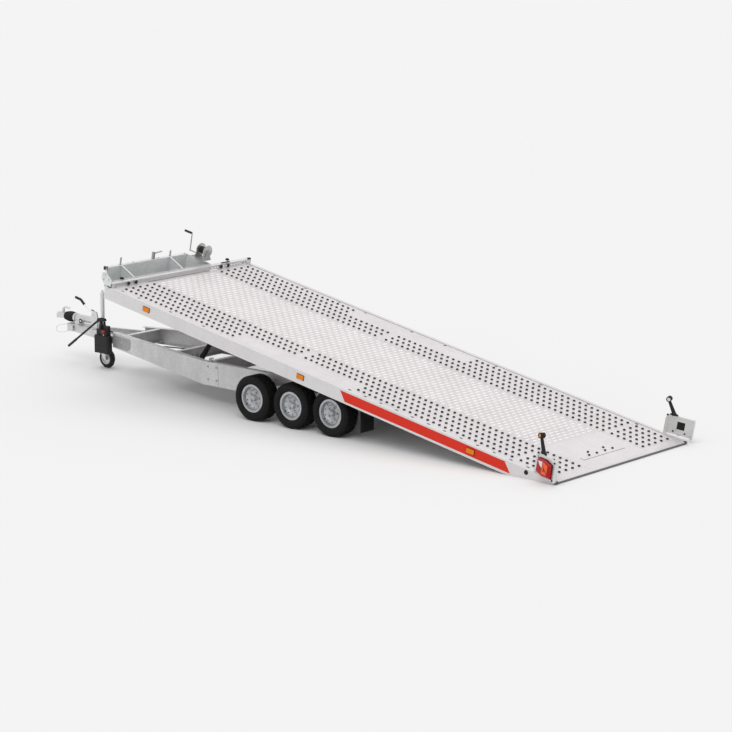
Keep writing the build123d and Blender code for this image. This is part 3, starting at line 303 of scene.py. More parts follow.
def settle(name: str, mesh: Mesh, body: str, *finishes: "Finish", crease: float = 32.0,
           bevel: float = 0.0) -> Piece:
    """Turn a mesh that stands in place into a dressed piece.

    Args:
        name: Name of the piece.
        mesh: Its mesh, in the frame's metres.
        body: Body of the frame that carries it.
        finishes: One finish for each material slot.
        crease: Angle in degrees past which an edge stays sharp.
        bevel: Width in metres of a live bevel on its sharp edges, or 0.

    Returns:
        The finished object.
    """
    slots = [face.material_index for face in mesh.polygons]
    mesh.materials.clear()
    for finish in finishes:
        mesh.materials.append(finish.material())
    mesh.polygons.foreach_set("material_index", slots)
    mesh.polygons.foreach_set("use_smooth", [True] * len(mesh.polygons))
    mesh.set_sharp_from_angle(angle=math.radians(crease))
    piece = stand(name, mesh)
    if bevel > 0:
        edge = piece.modifiers.new("edge", "BEVEL")
        edge.width, edge.segments, edge.limit_method = bevel, 2, "ANGLE"
        edge.angle_limit = math.radians(40)
        edge.harden_normals = True
    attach(piece, body)
    return piece


# ---------------------------------------------------------------- finishes
class Nodes:
    """Node tree whose nodes are placed with their settings and inputs in one call."""

    def __init__(self, group: bpy.types.NodeTree) -> None:
        """Work on a tree.

        Args:
            group: The tree.
        """
        self.group = group

    def add(self, kind: str, settings: dict[str, object] | None = None, **inputs: object) -> bpy.types.Node:
        """Place a node.

        Args:
            kind: Its type, without the GeometryNode prefix where it has that one.
            settings: Its own properties.
            inputs: Values or sockets for its inputs, spaces written as underscores.

        Returns:
            The node.
        """
        full = kind if kind.startswith(("Shader", "Function")) else f"GeometryNode{kind}"
        node = self.group.nodes.new(full)
        for key, value in (settings or {}).items():
            setattr(node, key, value)
        for key, value in inputs.items():
            socket = node.inputs[int(key[1:])] if key[0] == "_" else node.inputs[key.replace("_", " ")]
            if isinstance(value, Socket):
                self.group.links.new(value, socket)
            else:
                socket.default_value = value
        return node

    def made(self, kind: str, settings: dict[str, object] | None = None, **inputs: object) -> Socket:
        """Place a node as add does and give its first output."""
        return self.add(kind, settings, **inputs).outputs[0]

    def sum(self, how: str, a: object, b: object) -> Socket:
        """Join two numbers by a plain sum of a kind."""
        return self.made("ShaderNodeMath", {"operation": how}, _0=a, _1=b)


class Board(Nodes):
    """Shader nodes of one material, with short words for the ones used here."""

    def __init__(self, name: str) -> None:
        """Make the material with its plain shader.

        Args:
            name: Name of the material.
        """
        self.material = bpy.data.materials.new(name)
        self.material.use_nodes = True
        super().__init__(self.material.node_tree)
        self.shader = self.group.nodes["Principled BSDF"]
        self._coords = self.add("ShaderNodeTexCoord").outputs["Object"]

    def wire(self, source: Socket, name: str) -> None:
        """Let a socket feed one of the shader's inputs."""
        self.group.links.new(source, self.shader.inputs[name])

    def set(self, **values: object) -> None:
        """Set the shader's own sockets, spaces in their names written as underscores."""
        for key, value in values.items():
            self.shader.inputs[key.replace("_", " ")].default_value = value

    def colour(self, source: Socket) -> None:
        """Let a socket give the shader's colour."""
        self.wire(source, "Base Color")

    def rough(self, value: Socket, usual: float, under: float, over: float, *ends: float) -> None:
        """Let a value vary the shader's roughness, from so much under its usual to so much over it."""
        self.wire(self.span(value, usual - under, usual + over, *ends), "Roughness")

    def place(self, stretch: Triple, turn: Triple = (0.0, 0.0, 0.0)) -> Socket:
        """Stretch the object's coordinates along their axes and turn them, in radians."""
        kind = {"vector_type": "TEXTURE"}
        return self.made("ShaderNodeMapping", kind, Vector=self._coords, Rotation=turn, Scale=stretch)

    def noise(self, scale: float, detail: float = 3.0, rough: float = 0.5,
              at: Socket | None = None) -> Socket:
        """Cloudy values from 0 to 1.

        Args:
            scale: Clouds to the metre.
            detail: How many finer layers.
            rough: Weight of the finer layers.
            at: Coordinates, or the object's own.

        Returns:
            The value socket.
        """
        spot = at or self._coords
        node = self.add("ShaderNodeTexNoise", None, Vector=spot, Scale=scale, Detail=detail, Roughness=rough)
        return node.outputs["Fac"]

    def cells(self, scale: float, output: str = "Color") -> Socket:
        """Cells such as crystals or pebbles, so many to the metre, as one of the node's outputs."""
        return self.add("ShaderNodeTexVoronoi", None, Vector=self._coords, Scale=scale).outputs[output]

    def span(self, value: Socket, low: float, high: float, start: float = 0.0, end: float = 1.0) -> Socket:
        """Map a value from start..end to low..high, clamped."""
        node = self.add("ShaderNodeMapRange", None, Value=value, From_Min=start, From_Max=end, To_Min=low,
                        To_Max=high)
        return node.outputs["Result"]

    def mix(self, share: Socket, a: object, b: object) -> Socket:
        """Blend two colours, each a triple or a socket, by the share of the second."""
        a, b = ((*colour, 1.0) if isinstance(colour, tuple) else colour for colour in (a, b))
        return self.add("ShaderNodeMix", {"data_type": "RGBA"}, Factor=share, _6=a, _7=b).outputs[2]

    def bump(self, height: Socket, distance: float, strength: float = 1.0) -> None:
        """Roughen the shader's normal by a height, its distance in metres."""
        bump = self.made("ShaderNodeBump", None, Strength=strength, Distance=distance, Height=height)
        self.wire(bump, "Normal")

    def worn_edges(self, radius: float) -> Socket:
        """Find edges that rubbing reaches.

        Args:
            radius: How far from an edge the wear goes, in metres.

        Returns:
            A value near 1 along edges and 0 on flats.
        """
        rounded = self.made("ShaderNodeBevel", {"samples": 4}, Radius=radius)
        flat = self.add("ShaderNodeNewGeometry").outputs["Normal"]
        dot = self.add("ShaderNodeVectorMath", {"operation": "DOT_PRODUCT"}, _0=rounded, _1=flat)
        return self.span(dot.outputs["Value"], 0.0, 1.0, 0.985, 0.86)


@dataclass(frozen=True)
class Finish:
    """A surface finish: its name, the record's slot it belongs to and its plain values."""

    name: str
    slot: str
    colour: Triple
    metallic: float = 0.0
    roughness: float = 0.5

    def material(self) -> bpy.types.Material:
        """Give the finish's material, made the first time it is asked for."""
        made = bpy.data.materials.get(self.name)
        if made:
            return made
        board = Board(self.name)
        board.set(Base_Color=(*self.colour, 1.0), Metallic=self.metallic, Roughness=self.roughness)
        board.material.diffuse_color = (*self.colour, 1.0)
        self.paint(board)
        return board.material

    def paint(self, board: Board) -> None:
        """Lay the finish's pattern on the board; each kind of finish has its own."""
        raise NotImplementedError(self.name)

    def shade(self, factor: float, warmth: float = 0.0) -> Triple:
        """The finish's colour made darker or lighter, and a little warmer."""
        r, g, b = self.colour
        return (min(1.0, r * factor * (1 + warmth)), min(1.0, g * factor),
                min(1.0, b * factor * (1 - warmth)))


@dataclass(frozen=True)
class Galvanised(Finish):
    """Hot-dipped zinc: crystals, cloudy runs and duller patches, a little brighter on worn edges."""

    flake: float = 70.0
    spread: float = 0.07
    runs: float = 0.10
    edges: float = 0.0012

    def paint(self, board: Board) -> None:
        """Lay crystals, runs and edges."""
        crystal = board.add("ShaderNodeSeparateColor", None, Color=board.cells(self.flake))
        grain = board.span(crystal.outputs[0], 1 - self.spread, 1 + self.spread)
        cloud = board.span(board.noise(2.6, 4.0, 0.6), 1 - self.runs, 1 + self.runs * 0.6, 0.3, 0.7)
        long = board.noise(7.0, 2.0, 0.5, board.place((1.0, 1.0, 6.0)))
        drips = board.span(long, 1 - self.runs * 0.4, 1 + self.runs * 0.3, 0.35, 0.65)
        tone = board.sum("MULTIPLY", board.sum("MULTIPLY", grain, cloud), drips)
        share = board.span(tone, 0.0, 1.0, 0.72, 1.28)
        base = board.mix(share, self.shade(0.72), self.shade(1.28))
        if self.edges > 0:
            base = board.mix(board.worn_edges(self.edges), base, self.shade(1.22))
        board.colour(base)
        dull = board.sum("ADD", board.noise(22.0, 3.0), crystal.outputs[1])
        board.rough(dull, self.roughness, 0.10, 0.12, 0.4, 1.6)
        board.bump(board.noise(260.0, 2.0), 0.00012, 0.5)


@dataclass(frozen=True)
class DeckSheet(Galvanised):
    """Rolled deck sheet: finer crystals, long rolling lines and tyre marks along the bed."""

    marks: float = 0.10

    def paint(self, board: Board) -> None:
        """Lay the zinc, then the rolling lines over it."""
        Galvanised.paint(self, board)
        before = board.shader.inputs["Base Color"].links[0].from_socket
        along = board.place((2.4, 0.05, 0.4), (0.0, -PLACES.tilt, 0.0))
        rolled = board.span(board.noise(3.0, 4.0, 0.65, along), 0.0, self.marks * 2.0, 0.45, 0.85)
        board.colour(board.mix(rolled, before, self.shade(0.62, 0.02)))


@dataclass(frozen=True)
class Coated(Finish):
    """Paint on steel, with orange peel, dust and bare edges."""

    bare: Triple = (0.34, 0.34, 0.33)
    edges: float = 0.0016
    coat: float = 0.1

    def paint(self, board: Board) -> None:
        """Lay the paint's clouding, dust and bare edges."""
        board.set(Coat_Weight=self.coat, Coat_Roughness=0.3, Specular_IOR_Level=0.3)
        cloud = board.span(board.noise(14.0, 4.0, 0.6), 0.0, 1.0, 0.35, 0.75)
        base = board.mix(cloud, self.shade(0.86), self.shade(1.25, 0.03))
        rubbed = board.sum("MULTIPLY", board.worn_edges(self.edges), board.noise(60.0, 3.0))
        scuff = board.span(rubbed, 0.0, 1.0, 0.30, 0.62)
        board.colour(board.mix(scuff, base, self.bare))
        board.rough(board.noise(30.0, 3.0), self.roughness, 0.06, 0.14)
        board.bump(board.noise(420.0, 1.0), 0.00008, 0.4)


@dataclass(frozen=True)
class RimPaint(Finish):
    """Silver wheel paint with metal flakes and brake dust in its hollows."""

    dust: Triple = (0.20, 0.19, 0.18)

    def paint(self, board: Board) -> None:
        """Lay flakes and dust."""
        flakes = board.made("ShaderNodeSeparateColor", None, Color=board.cells(900.0))
        base = board.mix(flakes, self.shade(0.90), self.shade(1.10))
        dusty = board.span(board.noise(11.0, 5.0, 0.62), 0.0, 0.45, 0.42, 0.72)
        board.colour(board.mix(dusty, base, self.dust))
        board.rough(board.noise(18.0, 3.0), self.roughness, 0.06, 0.18)
        board.bump(board.noise(300.0, 2.0), 0.0001, 0.4)


@dataclass(frozen=True)
class Rubber(Finish):
    """Moulded rubber with fine grain and a film of road dust."""

    dust: Triple = (0.16, 0.15, 0.135)
    film: float = 0.28
    grain: float = 900.0

    def paint(self, board: Board) -> None:
        """Lay the grain and the dust."""
        board.set(Specular_IOR_Level=0.25)
        cloud = board.noise(6.0, 5.0, 0.6)
        board.colour(board.mix(board.span(cloud, 0.0, self.film, 0.38, 0.78), self.shade(0.9), self.dust))
        board.rough(cloud, self.roughness, 0.08, 0.12)
        board.bump(board.noise(self.grain, 2.0), 0.00015, 0.5)


@dataclass(frozen=True)
class Moulded(Finish):
    """Moulded plastic with a fine leather-like grain."""

    grain: float = 700.0
    depth: float = 0.00012

    def paint(self, board: Board) -> None:
        """Lay the grain and a faint scuffed bloom."""
        board.set(Specular_IOR_Level=0.3)
        bloom = board.span(board.noise(25.0, 4.0, 0.6), 0.0, 0.35, 0.5, 0.8)
        board.colour(board.mix(bloom, self.shade(0.95), self.shade(1.9)))
        board.rough(board.noise(40.0, 2.0), self.roughness, 0.05, 0.1)
        board.bump(board.cells(self.grain, output="Distance"), self.depth, 0.6)


@dataclass(frozen=True)
class Lens(Finish):
    """Lamp lens: clear gloss over a fine grid of prisms, with a painted glint that makes each prism paler at its
    middle.
    """

    pitch: float = 160.0
    glint: float = 0.5

    def paint(self, board: Board) -> None:
        """Lay the prisms and a painted glint in each prism's cell."""
        board.set(Coat_Weight=0.1, Coat_Roughness=0.1, Specular_IOR_Level=0.2)
        prism = board.cells(self.pitch, output="Distance")
        # Painted glint: each prism's middle is painted paler, by up to this share, for the light it catches.
        share = board.span(prism, self.glint, 0.0, 0.1, 0.75)
        board.colour(board.mix(share, self.shade(0.8), self.shade(1.55)))
        board.bump(prism, 0.0006, 0.35)


@dataclass(frozen=True)
class Film(Finish):
    """Thin coloured film stuck on steel, with faint waves and grime near its edges."""

    def paint(self, board: Board) -> None:
        """Lay the film's waves and grime."""
        board.set(Specular_IOR_Level=0.12)
        grime = board.span(board.noise(5.0, 5.0, 0.65), 0.0, 0.22, 0.5, 0.8)
        board.colour(board.mix(grime, self.shade(1.0), self.shade(0.72, 0.04)))
        board.rough(board.noise(16.0, 3.0), self.roughness, 0.06, 0.12)
        board.bump(board.noise(38.0, 2.0), 0.0002, 0.3)


@dataclass(frozen=True)
class Chrome(Finish):
    """Ground and chromed bar with hair-fine rings and an oily film."""

    def paint(self, board: Board) -> None:
        """Lay the rings and the film."""
        oily = board.noise(12.0, 4.0, 0.6)
        board.colour(board.mix(oily, self.shade(0.86), self.shade(1.1)))
        board.rough(oily, self.roughness, 0.05, 0.12)
        board.bump(board.noise(1400.0, 1.0), 0.00004, 0.3)


def srgb(red: int, green: int, blue: int) -> Triple:
    """A screen colour from 0 to 255 as linear light."""
    def one(value: int) -> float:
        share = value / 255
        return share / 12.92 if share <= 0.04045 else ((share + 0.055) / 1.055) ** 2.4
    return one(red), one(green), one(blue)


GALVANISED = Galvanised("galvanised_frame", "galvanised_steel", srgb(203, 202, 202), 0.5, 0.5)
BRACKET_ZINC = Galvanised("dull_brackets", "galvanised_steel", srgb(158, 158, 158), 0.5, 0.5)
RAIL_ZINC = Galvanised("galvanised_rail", "galvanised_steel", srgb(209, 207, 208), 0.5, 0.5, 55.0, 0.02,
                       0.035)
# Painted shade: the lip under the rear edge is the same galvanised steel, painted dark for the shadow under it.
PAINTED_SHADE_LIP = Galvanised("painted_shade_lip", "galvanised_steel", srgb(112, 109, 110), 0.4, 0.5, 60.0, 0.04, 0.05)
BOX_ZINC = Galvanised("galvanised_box", "galvanised_steel", srgb(209, 211, 211), 0.35, 0.5, 60.0, 0.07, 0.10)
DECK = DeckSheet("deck_sheet", "deck_plate", srgb(213, 208, 209), 0.45, 0.5, 90.0, 0.05, 0.06, 0.0)
MIDDLE_SHEET = DeckSheet("middle_deck_sheet", "deck_plate", srgb(208, 203, 204), 0.45, 0.5, 90.0, 0.05, 0.06,
                         0.0)
# Painted highlight: the raised bars are painted near white, brighter than the sheet they are pressed from, for the
# light they catch.
HIGHLIT_BARS = DeckSheet("highlit_deck_bars", "deck_plate", srgb(250, 249, 249), 0.1, 0.5, 90.0, 0.03, 0.04,
                        0.0)
REAR_SHEET = DeckSheet("rear_deck_sheet", "deck_plate", srgb(214, 209, 210), 0.3, 0.5, 60.0, 0.03, 0.05, 0.0)
# Painted shade: a dark zinc colour for the collars under the deck's holes and for the groove's bed, standing in
# for the shadow inside them.
PAINTED_SHADE_WALLS = Galvanised("painted_shade_walls", "deck_plate", srgb(66, 64, 65), 0.3, 0.7, 90.0, 0.05, 0.06,
                        0.0)
ZINC = Galvanised("bright_zinc", "zinc_plated", srgb(206, 207, 206), 0.75, 0.36, 220.0, 0.05, 0.08, 0.001)
BOLT_ZINC = Galvanised("bolt_zinc", "zinc_plated", srgb(186, 187, 184), 0.8, 0.34, 400.0, 0.06, 0.06, 0.0)
GEAR_STEEL = Galvanised("gear_steel", "zinc_plated", srgb(178, 178, 175), 0.85, 0.32, 300.0, 0.05, 0.12,
                        0.0008)
BLACK_PAINT = Coated("black_enamel", "painted_black", srgb(14, 14, 15), 0.0, 0.5)
RED_KNOB = Moulded("red_knob_plastic", "lamp_red", srgb(178, 34, 26), 0.0, 0.38, 500.0, 0.00006)
PALE_KNOB = Moulded("pale_knob_plastic", "zinc_plated", srgb(206, 202, 196), 0.0, 0.42, 500.0, 0.00006)
SILVER = RimPaint("silver_rim_paint", "silver_rim", srgb(178, 180, 183), 0.6, 0.38)
TYRE = Rubber("tyre_rubber", "tyre", srgb(14, 13, 13), 0.0, 0.78, film=0.02)
TREAD = Rubber("tread_rubber", "tyre", srgb(16, 15, 15), 0.0, 0.84, film=0.05)
RUBBER = Rubber("moulded_rubber", "black_rubber", srgb(23, 23, 24), 0.0, 0.62, film=0.05)
PLASTIC = Moulded("black_moulding", "black_plastic", srgb(23, 23, 25), 0.0, 0.46)
HOSE_SKIN = Rubber("hose_cover", "black_plastic", srgb(24, 24, 25), 0.0, 0.5, film=0.05, grain=500.0)
CABLE_SKIN = Moulded("cable_sheath", "black_plastic", srgb(176, 175, 172), 0.0, 0.4, 900.0, 0.00005)
RED_FILM = Film("red_stripe_film", "galvanised_steel", srgb(205, 50, 34), 0.0, 0.5)
RED_LENS = Lens("red_lens", "lamp_red", srgb(168, 8, 12), 0.0, 0.2, glint=0.35)
AMBER_LENS = Lens("amber_lens", "lamp_amber", srgb(236, 134, 22), 0.0, 0.2, glint=0.4)
ORANGE_LENS = Lens("orange_lens", "lamp_red", srgb(244, 96, 22), 0.0, 0.2, glint=0.3)
CLEAR_LENS = Lens("clear_lens", "lamp_red", srgb(232, 214, 210), 0.0, 0.12)
CHROME = Chrome("chromed_ram", "chromed_rod", srgb(214, 216, 218), 1.0, 0.14)


@dataclass
class Wardrobe:
    """Chooses a finish for every part that is carried over from the frame."""

    by_node: dict[str, Finish] = field(default_factory=lambda: {
        "side_rails": RAIL_ZINC, "deck_centre": MIDDLE_SHEET, "rear_plate": REAR_SHEET,
        "chassis_brackets": BRACKET_ZINC, "winch_crank": GEAR_STEEL, "cylinder_rod": CHROME,
        "hydraulic_hose": HOSE_SKIN,
    })
    by_slot: dict[str, Finish] = field(default_factory=lambda: {
        "galvanised_steel": GALVANISED, "deck_plate": DECK, "zinc_plated": ZINC, "painted_black": BLACK_PAINT,
        "silver_rim": SILVER, "tyre": TYRE, "black_rubber": RUBBER, "black_plastic": PLASTIC,
        "lamp_red": RED_LENS, "lamp_amber": AMBER_LENS, "chromed_rod": CHROME,
    })

    def dress(self) -> int:
        """Give every carried-over node its finish.

        Returns:
            How many nodes were dressed.
        """
        slots = {row["node"]: row["material_slot"] for row in frame["record"]["subparts"]}
        for name, node in frame["nodes"].items():
            finish = self.by_node.get(name) or self.by_slot[slots[name]]
            if not node.material_slots:
                node.data.materials.append(finish.material())
            for place in node.material_slots:
                place.material = finish.material()
        return len(frame["nodes"])


# ---------------------------------------------------------------- shaping by node trees
class Tree(Nodes):
    """A Geometry Nodes tree built socket by socket, with named inputs."""

    def __init__(self, name: str, **inputs: object) -> None:
        """Start a tree.

        Args:
            name: Name of the tree.
            inputs: Its named inputs with their usual values; a material input is given as None.
        """
        super().__init__(bpy.data.node_groups.new(name, "GeometryNodeTree"))
        face = self.group.interface
        face.new_socket("Geometry", in_out="INPUT", socket_type="NodeSocketGeometry")
        self.keys: dict[str, str] = {}
        for key, value in inputs.items():
            number = "NodeSocketInt" if isinstance(value, int) else "NodeSocketFloat"
            kind = "NodeSocketMaterial" if value is None else number
            socket = face.new_socket(key.replace("_", " "), in_out="INPUT", socket_type=kind)
            if value is not None:
                socket.default_value = value
            self.keys[key] = socket.identifier
        face.new_socket("Geometry", in_out="OUTPUT", socket_type="NodeSocketGeometry")
        self.entry = self.group.nodes.new("NodeGroupInput")
        self.exit = self.group.nodes.new("NodeGroupOutput")

    def given(self, key: str) -> Socket:
        """The socket of a named input, or of the geometry that comes in."""
        return self.entry.outputs[key.replace("_", " ")]

    def attribute(self, name: str, kind: str = "FLOAT") -> Socket:
        """Read a named attribute of the points that come in."""
        return self.add("InputNamedAttribute", {"data_type": kind}, Name=name).outputs["Attribute"]

    def vector(self, x: object = 0.0, y: object = 0.0, z: object = 0.0) -> Socket:
        """Join three numbers to a vector."""
        return self.made("ShaderNodeCombineXYZ", None, X=x, Y=y, Z=z)

    def joined(self, *parts: Socket) -> Socket:
        """Put several geometries together."""
        node = self.add("JoinGeometry")
        for part in parts:
            self.group.links.new(part, node.inputs[0])
        return node.outputs[0]

    def raised(self, face: Socket, steps: Sequence[tuple[object, float]]) -> Socket:
        """Raise a flat face in steps to a closed solid.

        Args:
            face: Flat mesh that looks along +Z.
            steps: Pairs of a height and the share that the top keeps after it.

        Returns:
            The closed solid.
        """
        under = self.made("FlipFaces", None, Mesh=face)
        solid, top = face, True
        for height, share in steps:
            lift = self.add("ExtrudeMesh", {"mode": "FACES"}, Mesh=solid, Selection=top,
                            Offset=self.vector(0.0, 0.0, 1.0), Offset_Scale=height, Individual=False)
            solid, top = lift.outputs["Mesh"], lift.outputs["Top"]
            if share != 1.0:
                solid = self.made("ScaleElements", None, Geometry=solid, Selection=top, Scale=share)
        both = self.joined(solid, under)
        return self.made("MergeByDistance", None, Geometry=both, Distance=1e-6)

    def times(self, key: str, factor: float) -> Socket:
        """A named input, multiplied."""
        return self.sum("MULTIPLY", self.given(key), factor)

    def disc(self, sides: int, radius: object) -> Socket:
        """Flat filled polygon round the origin."""
        return self.made("MeshCircle", {"fill_type": "NGON"}, Vertices=sides, Radius=radius)

    def circle(self, radius: object) -> Socket:
        """Round curve with as many flats as the tree's input Sides says."""
        return self.made("CurvePrimitiveCircle", {"mode": "RADIUS"}, Resolution=self.given("Sides"),
                         Radius=radius)

    def hoop(self, corners: Sequence[tuple[object, object]], radius: object) -> Socket:
        """Sweep a four-cornered section round a circle.

        Args:
            corners: Four pairs (outwards, upwards) from the circle.
            radius: Radius of the circle.

        Returns:
            The ring.
        """
        line = self.add("CurvePrimitiveQuadrilateral", {"mode": "POINTS"})
        for k, corner in enumerate(corners):
            self.group.links.new(self.vector(*corner), line.inputs[f"Point {k + 1}"])
        return self.made("CurveToMesh", None, Curve=self.circle(radius), Profile_Curve=line.outputs[0])

    def aimed(self) -> Socket:
        """Turn that lets +Z look along each point's `aim`."""
        aim = self.attribute("aim", "FLOAT_VECTOR")
        return self.made("FunctionNodeAlignRotationToVector", {"axis": "Z"}, Vector=aim)

    def scatter(self, shape: Socket, points: Socket | None = None, **placing: Socket) -> Socket:
        """Copy a shape onto points, or onto those that come in, each with its Rotation and Scale."""
        spots = points or self.given("Geometry")
        return self.made("InstanceOnPoints", None, Points=spots, Instance=shape, **placing)

    def close(self, geometry: Socket) -> "Tree":
        """End the tree: instances made real, then the material set."""
        real = self.made("RealizeInstances", None, Geometry=geometry)
        dressed = self.made("SetMaterial", None, Geometry=real, Material=self.given("Finish"))
        self.group.links.new(dressed, self.exit.inputs[0])
        return self

    def run(self, name: str, mesh: Mesh, finish: Finish, **values: object) -> Mesh:
        """Run the tree once on a mesh.

        Args:
            name: Name of the mesh that comes out.
            mesh: What goes in; it is thrown away.
            finish: Finish of the result.
            values: Named inputs that differ from their usual values.

        Returns:
            A plain mesh.
        """
        carrier = stand(name, mesh)
        step = carrier.modifiers.new("tree", "NODES")
        step.node_group = self.group
        step[self.keys["Finish"]] = finish.material()
        for key, value in values.items():
            step[self.keys[key]] = value
        ready = carrier.evaluated_get(bpy.context.evaluated_depsgraph_get())
        made = bpy.data.meshes.new_from_object(
            ready, preserve_all_data_layers=False, depsgraph=bpy.context.evaluated_depsgraph_get())
        made.name = name
        bpy.data.objects.remove(carrier)
        bpy.data.meshes.remove(mesh)
        return made


def point_cloud(places: Sequence[Vector], **attributes: Sequence[object]) -> Mesh:
    """Make loose points that carry values.

    Args:
        places: Where the points stand.
        attributes: A list of numbers or vectors for each named attribute.

    Returns:
        A mesh of vertices alone.
    """
    mesh = bpy.data.meshes.new("points")
    mesh.from_pydata([tuple(place) for place in places], [], [])
    for key, values in attributes.items():
        flat = isinstance(values[0], (int, float))
        layer = mesh.attributes.new(key, "FLOAT" if flat else "FLOAT_VECTOR", "POINT")
        if flat:
            layer.data.foreach_set("value", [float(value) for value in values])
        else:
            layer.data.foreach_set("vector", [number for value in values for number in value])
    return mesh


def punched(name: str, verts: list[Triple], edges: list[tuple[int, int]], spots: list[Triple],
            radius: float) -> Mesh:
    """Lay out a sheet for its tree.

    Args:
        name: Name of the mesh.
        verts: Corners of the outline and the slots.
        edges: Their closed loops.
        spots: Middles of the round holes.
        radius: Radius of the round holes.

    Returns:
        A mesh of loops and loose points.
    """
    mesh = bpy.data.meshes.new(name)
    mesh.from_pydata(verts + spots, edges, [])
    radii = [0.0] * len(verts) + [radius] * len(spots)
    mesh.attributes.new("hole", "FLOAT", "POINT").data.foreach_set("value", radii)
    return mesh


@cache
def fastener_tree() -> Tree:
    """Hexagon heads on washers, on points with `aim` and `size` (the width across the head's flats)."""
    tree = Tree("Fasteners", Head_height=0.62, Washer_width=1.75, Finish=None)
    head = tree.raised(tree.disc(6, 0.56), [(tree.given("Head_height"), 1.0), (0.08, 0.84)])
    washer = tree.raised(tree.disc(12, tree.times("Washer_width", 0.5)), [(0.12, 0.97)])
    lifted = tree.made("Transform", None, Geometry=head, Translation=(0.0, 0.0, 0.1))
    whole = tree.joined(washer, lifted)
    return tree.close(tree.scatter(whole, Rotation=tree.aimed(), Scale=tree.attribute("size")))


@cache
def rivet_tree() -> Tree:
    """Low domed heads on points with `aim` and `size` (the head's width)."""
    tree = Tree("Rivets", Rise=0.28, Finish=None)
    dome = tree.raised(tree.disc(10, 0.5), [(tree.times("Rise", 0.6), 0.8), (tree.times("Rise", 0.4), 0.5)])
    return tree.close(tree.scatter(dome, Rotation=tree.aimed(), Scale=tree.attribute("size")))


@cache
def sheet_tree() -> Tree:
    """Punched sheet: closed edge loops give outline and slots, points with `hole` (a radius) its round holes.

    The sheet hangs below the plane of its outline, and each round hole has a pressed collar round it.
    """
    tree = Tree("PunchedSheet", Thickness=0.003, Collar=0.0013, Spread=0.0045, Sides=14, Finish=None)
    radius = tree.attribute("hole")
    kind = {"data_type": "FLOAT", "operation": "GREATER_THAN"}
    is_hole = tree.made("FunctionNodeCompare", kind, A=radius, B=0.0)
    parted = tree.add("SeparateGeometry", {"domain": "POINT"}, Geometry=tree.given("Geometry"),
                      Selection=is_hole)
    spots = parted.outputs["Selection"]
    rings = tree.made("RealizeInstances", None, Geometry=tree.scatter(tree.circle(1.0), spots, Scale=radius))
    edge = tree.made("MeshToCurve", None, Mesh=parted.outputs["Inverted"])
    face = tree.made("FillCurve", {"mode": "TRIANGLES"}, Curve=tree.joined(edge, rings))
    under = tree.made("FlipFaces", None, Mesh=face)
    drop = tree.add("ExtrudeMesh", {"mode": "FACES"}, Mesh=under, Offset=tree.vector(0.0, 0.0, -1.0),
                    Offset_Scale=tree.given("Thickness"), Individual=False)
    both = tree.joined(face, drop.outputs["Mesh"])
    body = tree.made("MergeByDistance", None, Geometry=both, Distance=1e-6)
    share = 1 / 0.0155
    rise, spread, sunk = tree.times("Collar", share), tree.times("Spread", share), -0.001 * share
    collar = tree.hoop(((0.0, sunk), (0.04, rise), (0.2, rise), (spread, sunk)), 1.0)
    return tree.close(tree.joined(body, tree.scatter(collar, spots, Scale=radius)))


@cache
def wall_tree() -> Tree:
    """Short collars that hang under the holes of a sheet, on points with `hole` (the same radius for all)."""
    tree = Tree("HoleWalls", Depth=0.011, Wall=0.0009, Rise=0.0004, Sides=14, Finish=None)
    radius = tree.attribute("hole")
    edges = (tree.sum("SUBTRACT", radius, 0.0002), tree.sum("ADD", radius, tree.given("Wall")))
    least, most = (tree.add("AttributeStatistic", {"domain": "POINT"}, Geometry=tree.given("Geometry"),
                            Attribute=edge).outputs["Mean"] for edge in edges)
    wide, down, rise = tree.sum("SUBTRACT", most, least), tree.times("Depth", -1.0), tree.given("Rise")
    return tree.close(tree.scatter(tree.hoop(((0.0, down), (0.0, rise), (wide, rise), (wide, down)), least)))


@cache
def bar_tree() -> Tree:
    """Anti-slip bars with rounded ends, on points with `turn` (an angle about Z) and `size` (a factor)."""
    tree = Tree("AntiSlipBars", Length=0.074, Width=0.018, Rise=0.0025, Finish=None)
    size = tree.vector(tree.given("Length"), tree.given("Width"), 1.0)
    flat = tree.made("Transform", None, Geometry=tree.disc(8, 0.5), Scale=size)
    bar = tree.raised(flat, [(tree.times("Rise", 0.7), 0.82), (tree.times("Rise", 0.3), 0.6)])
    turn = tree.made("FunctionNodeEulerToRotation", None, Euler=tree.vector(0.0, 0.0, tree.attribute("turn")))
    return tree.close(tree.scatter(bar, Rotation=turn, Scale=tree.attribute("size")))


@cache
def tread_tree() -> Tree:
    """Tread blocks on points with `aim` (outwards), `across` (along the axle) and `block` (its sizes)."""
    tree = Tree("TreadBlocks", Finish=None)
    square = tree.made("Transform", None, Geometry=tree.disc(4, 0.70711), Rotation=(0.0, 0.0, math.pi / 4))
    block = tree.raised(square, [(0.9, 1.0), (0.1, 0.93)])
    turn = tree.made("FunctionNodeAxesToRotation", {"primary_axis": "Z", "secondary_axis": "X"},
                    Primary_Axis=tree.attribute("aim", "FLOAT_VECTOR"),
                    Secondary_Axis=tree.attribute("across", "FLOAT_VECTOR"))
    return tree.close(tree.scatter(block, Rotation=turn, Scale=tree.attribute("block", "FLOAT_VECTOR")))


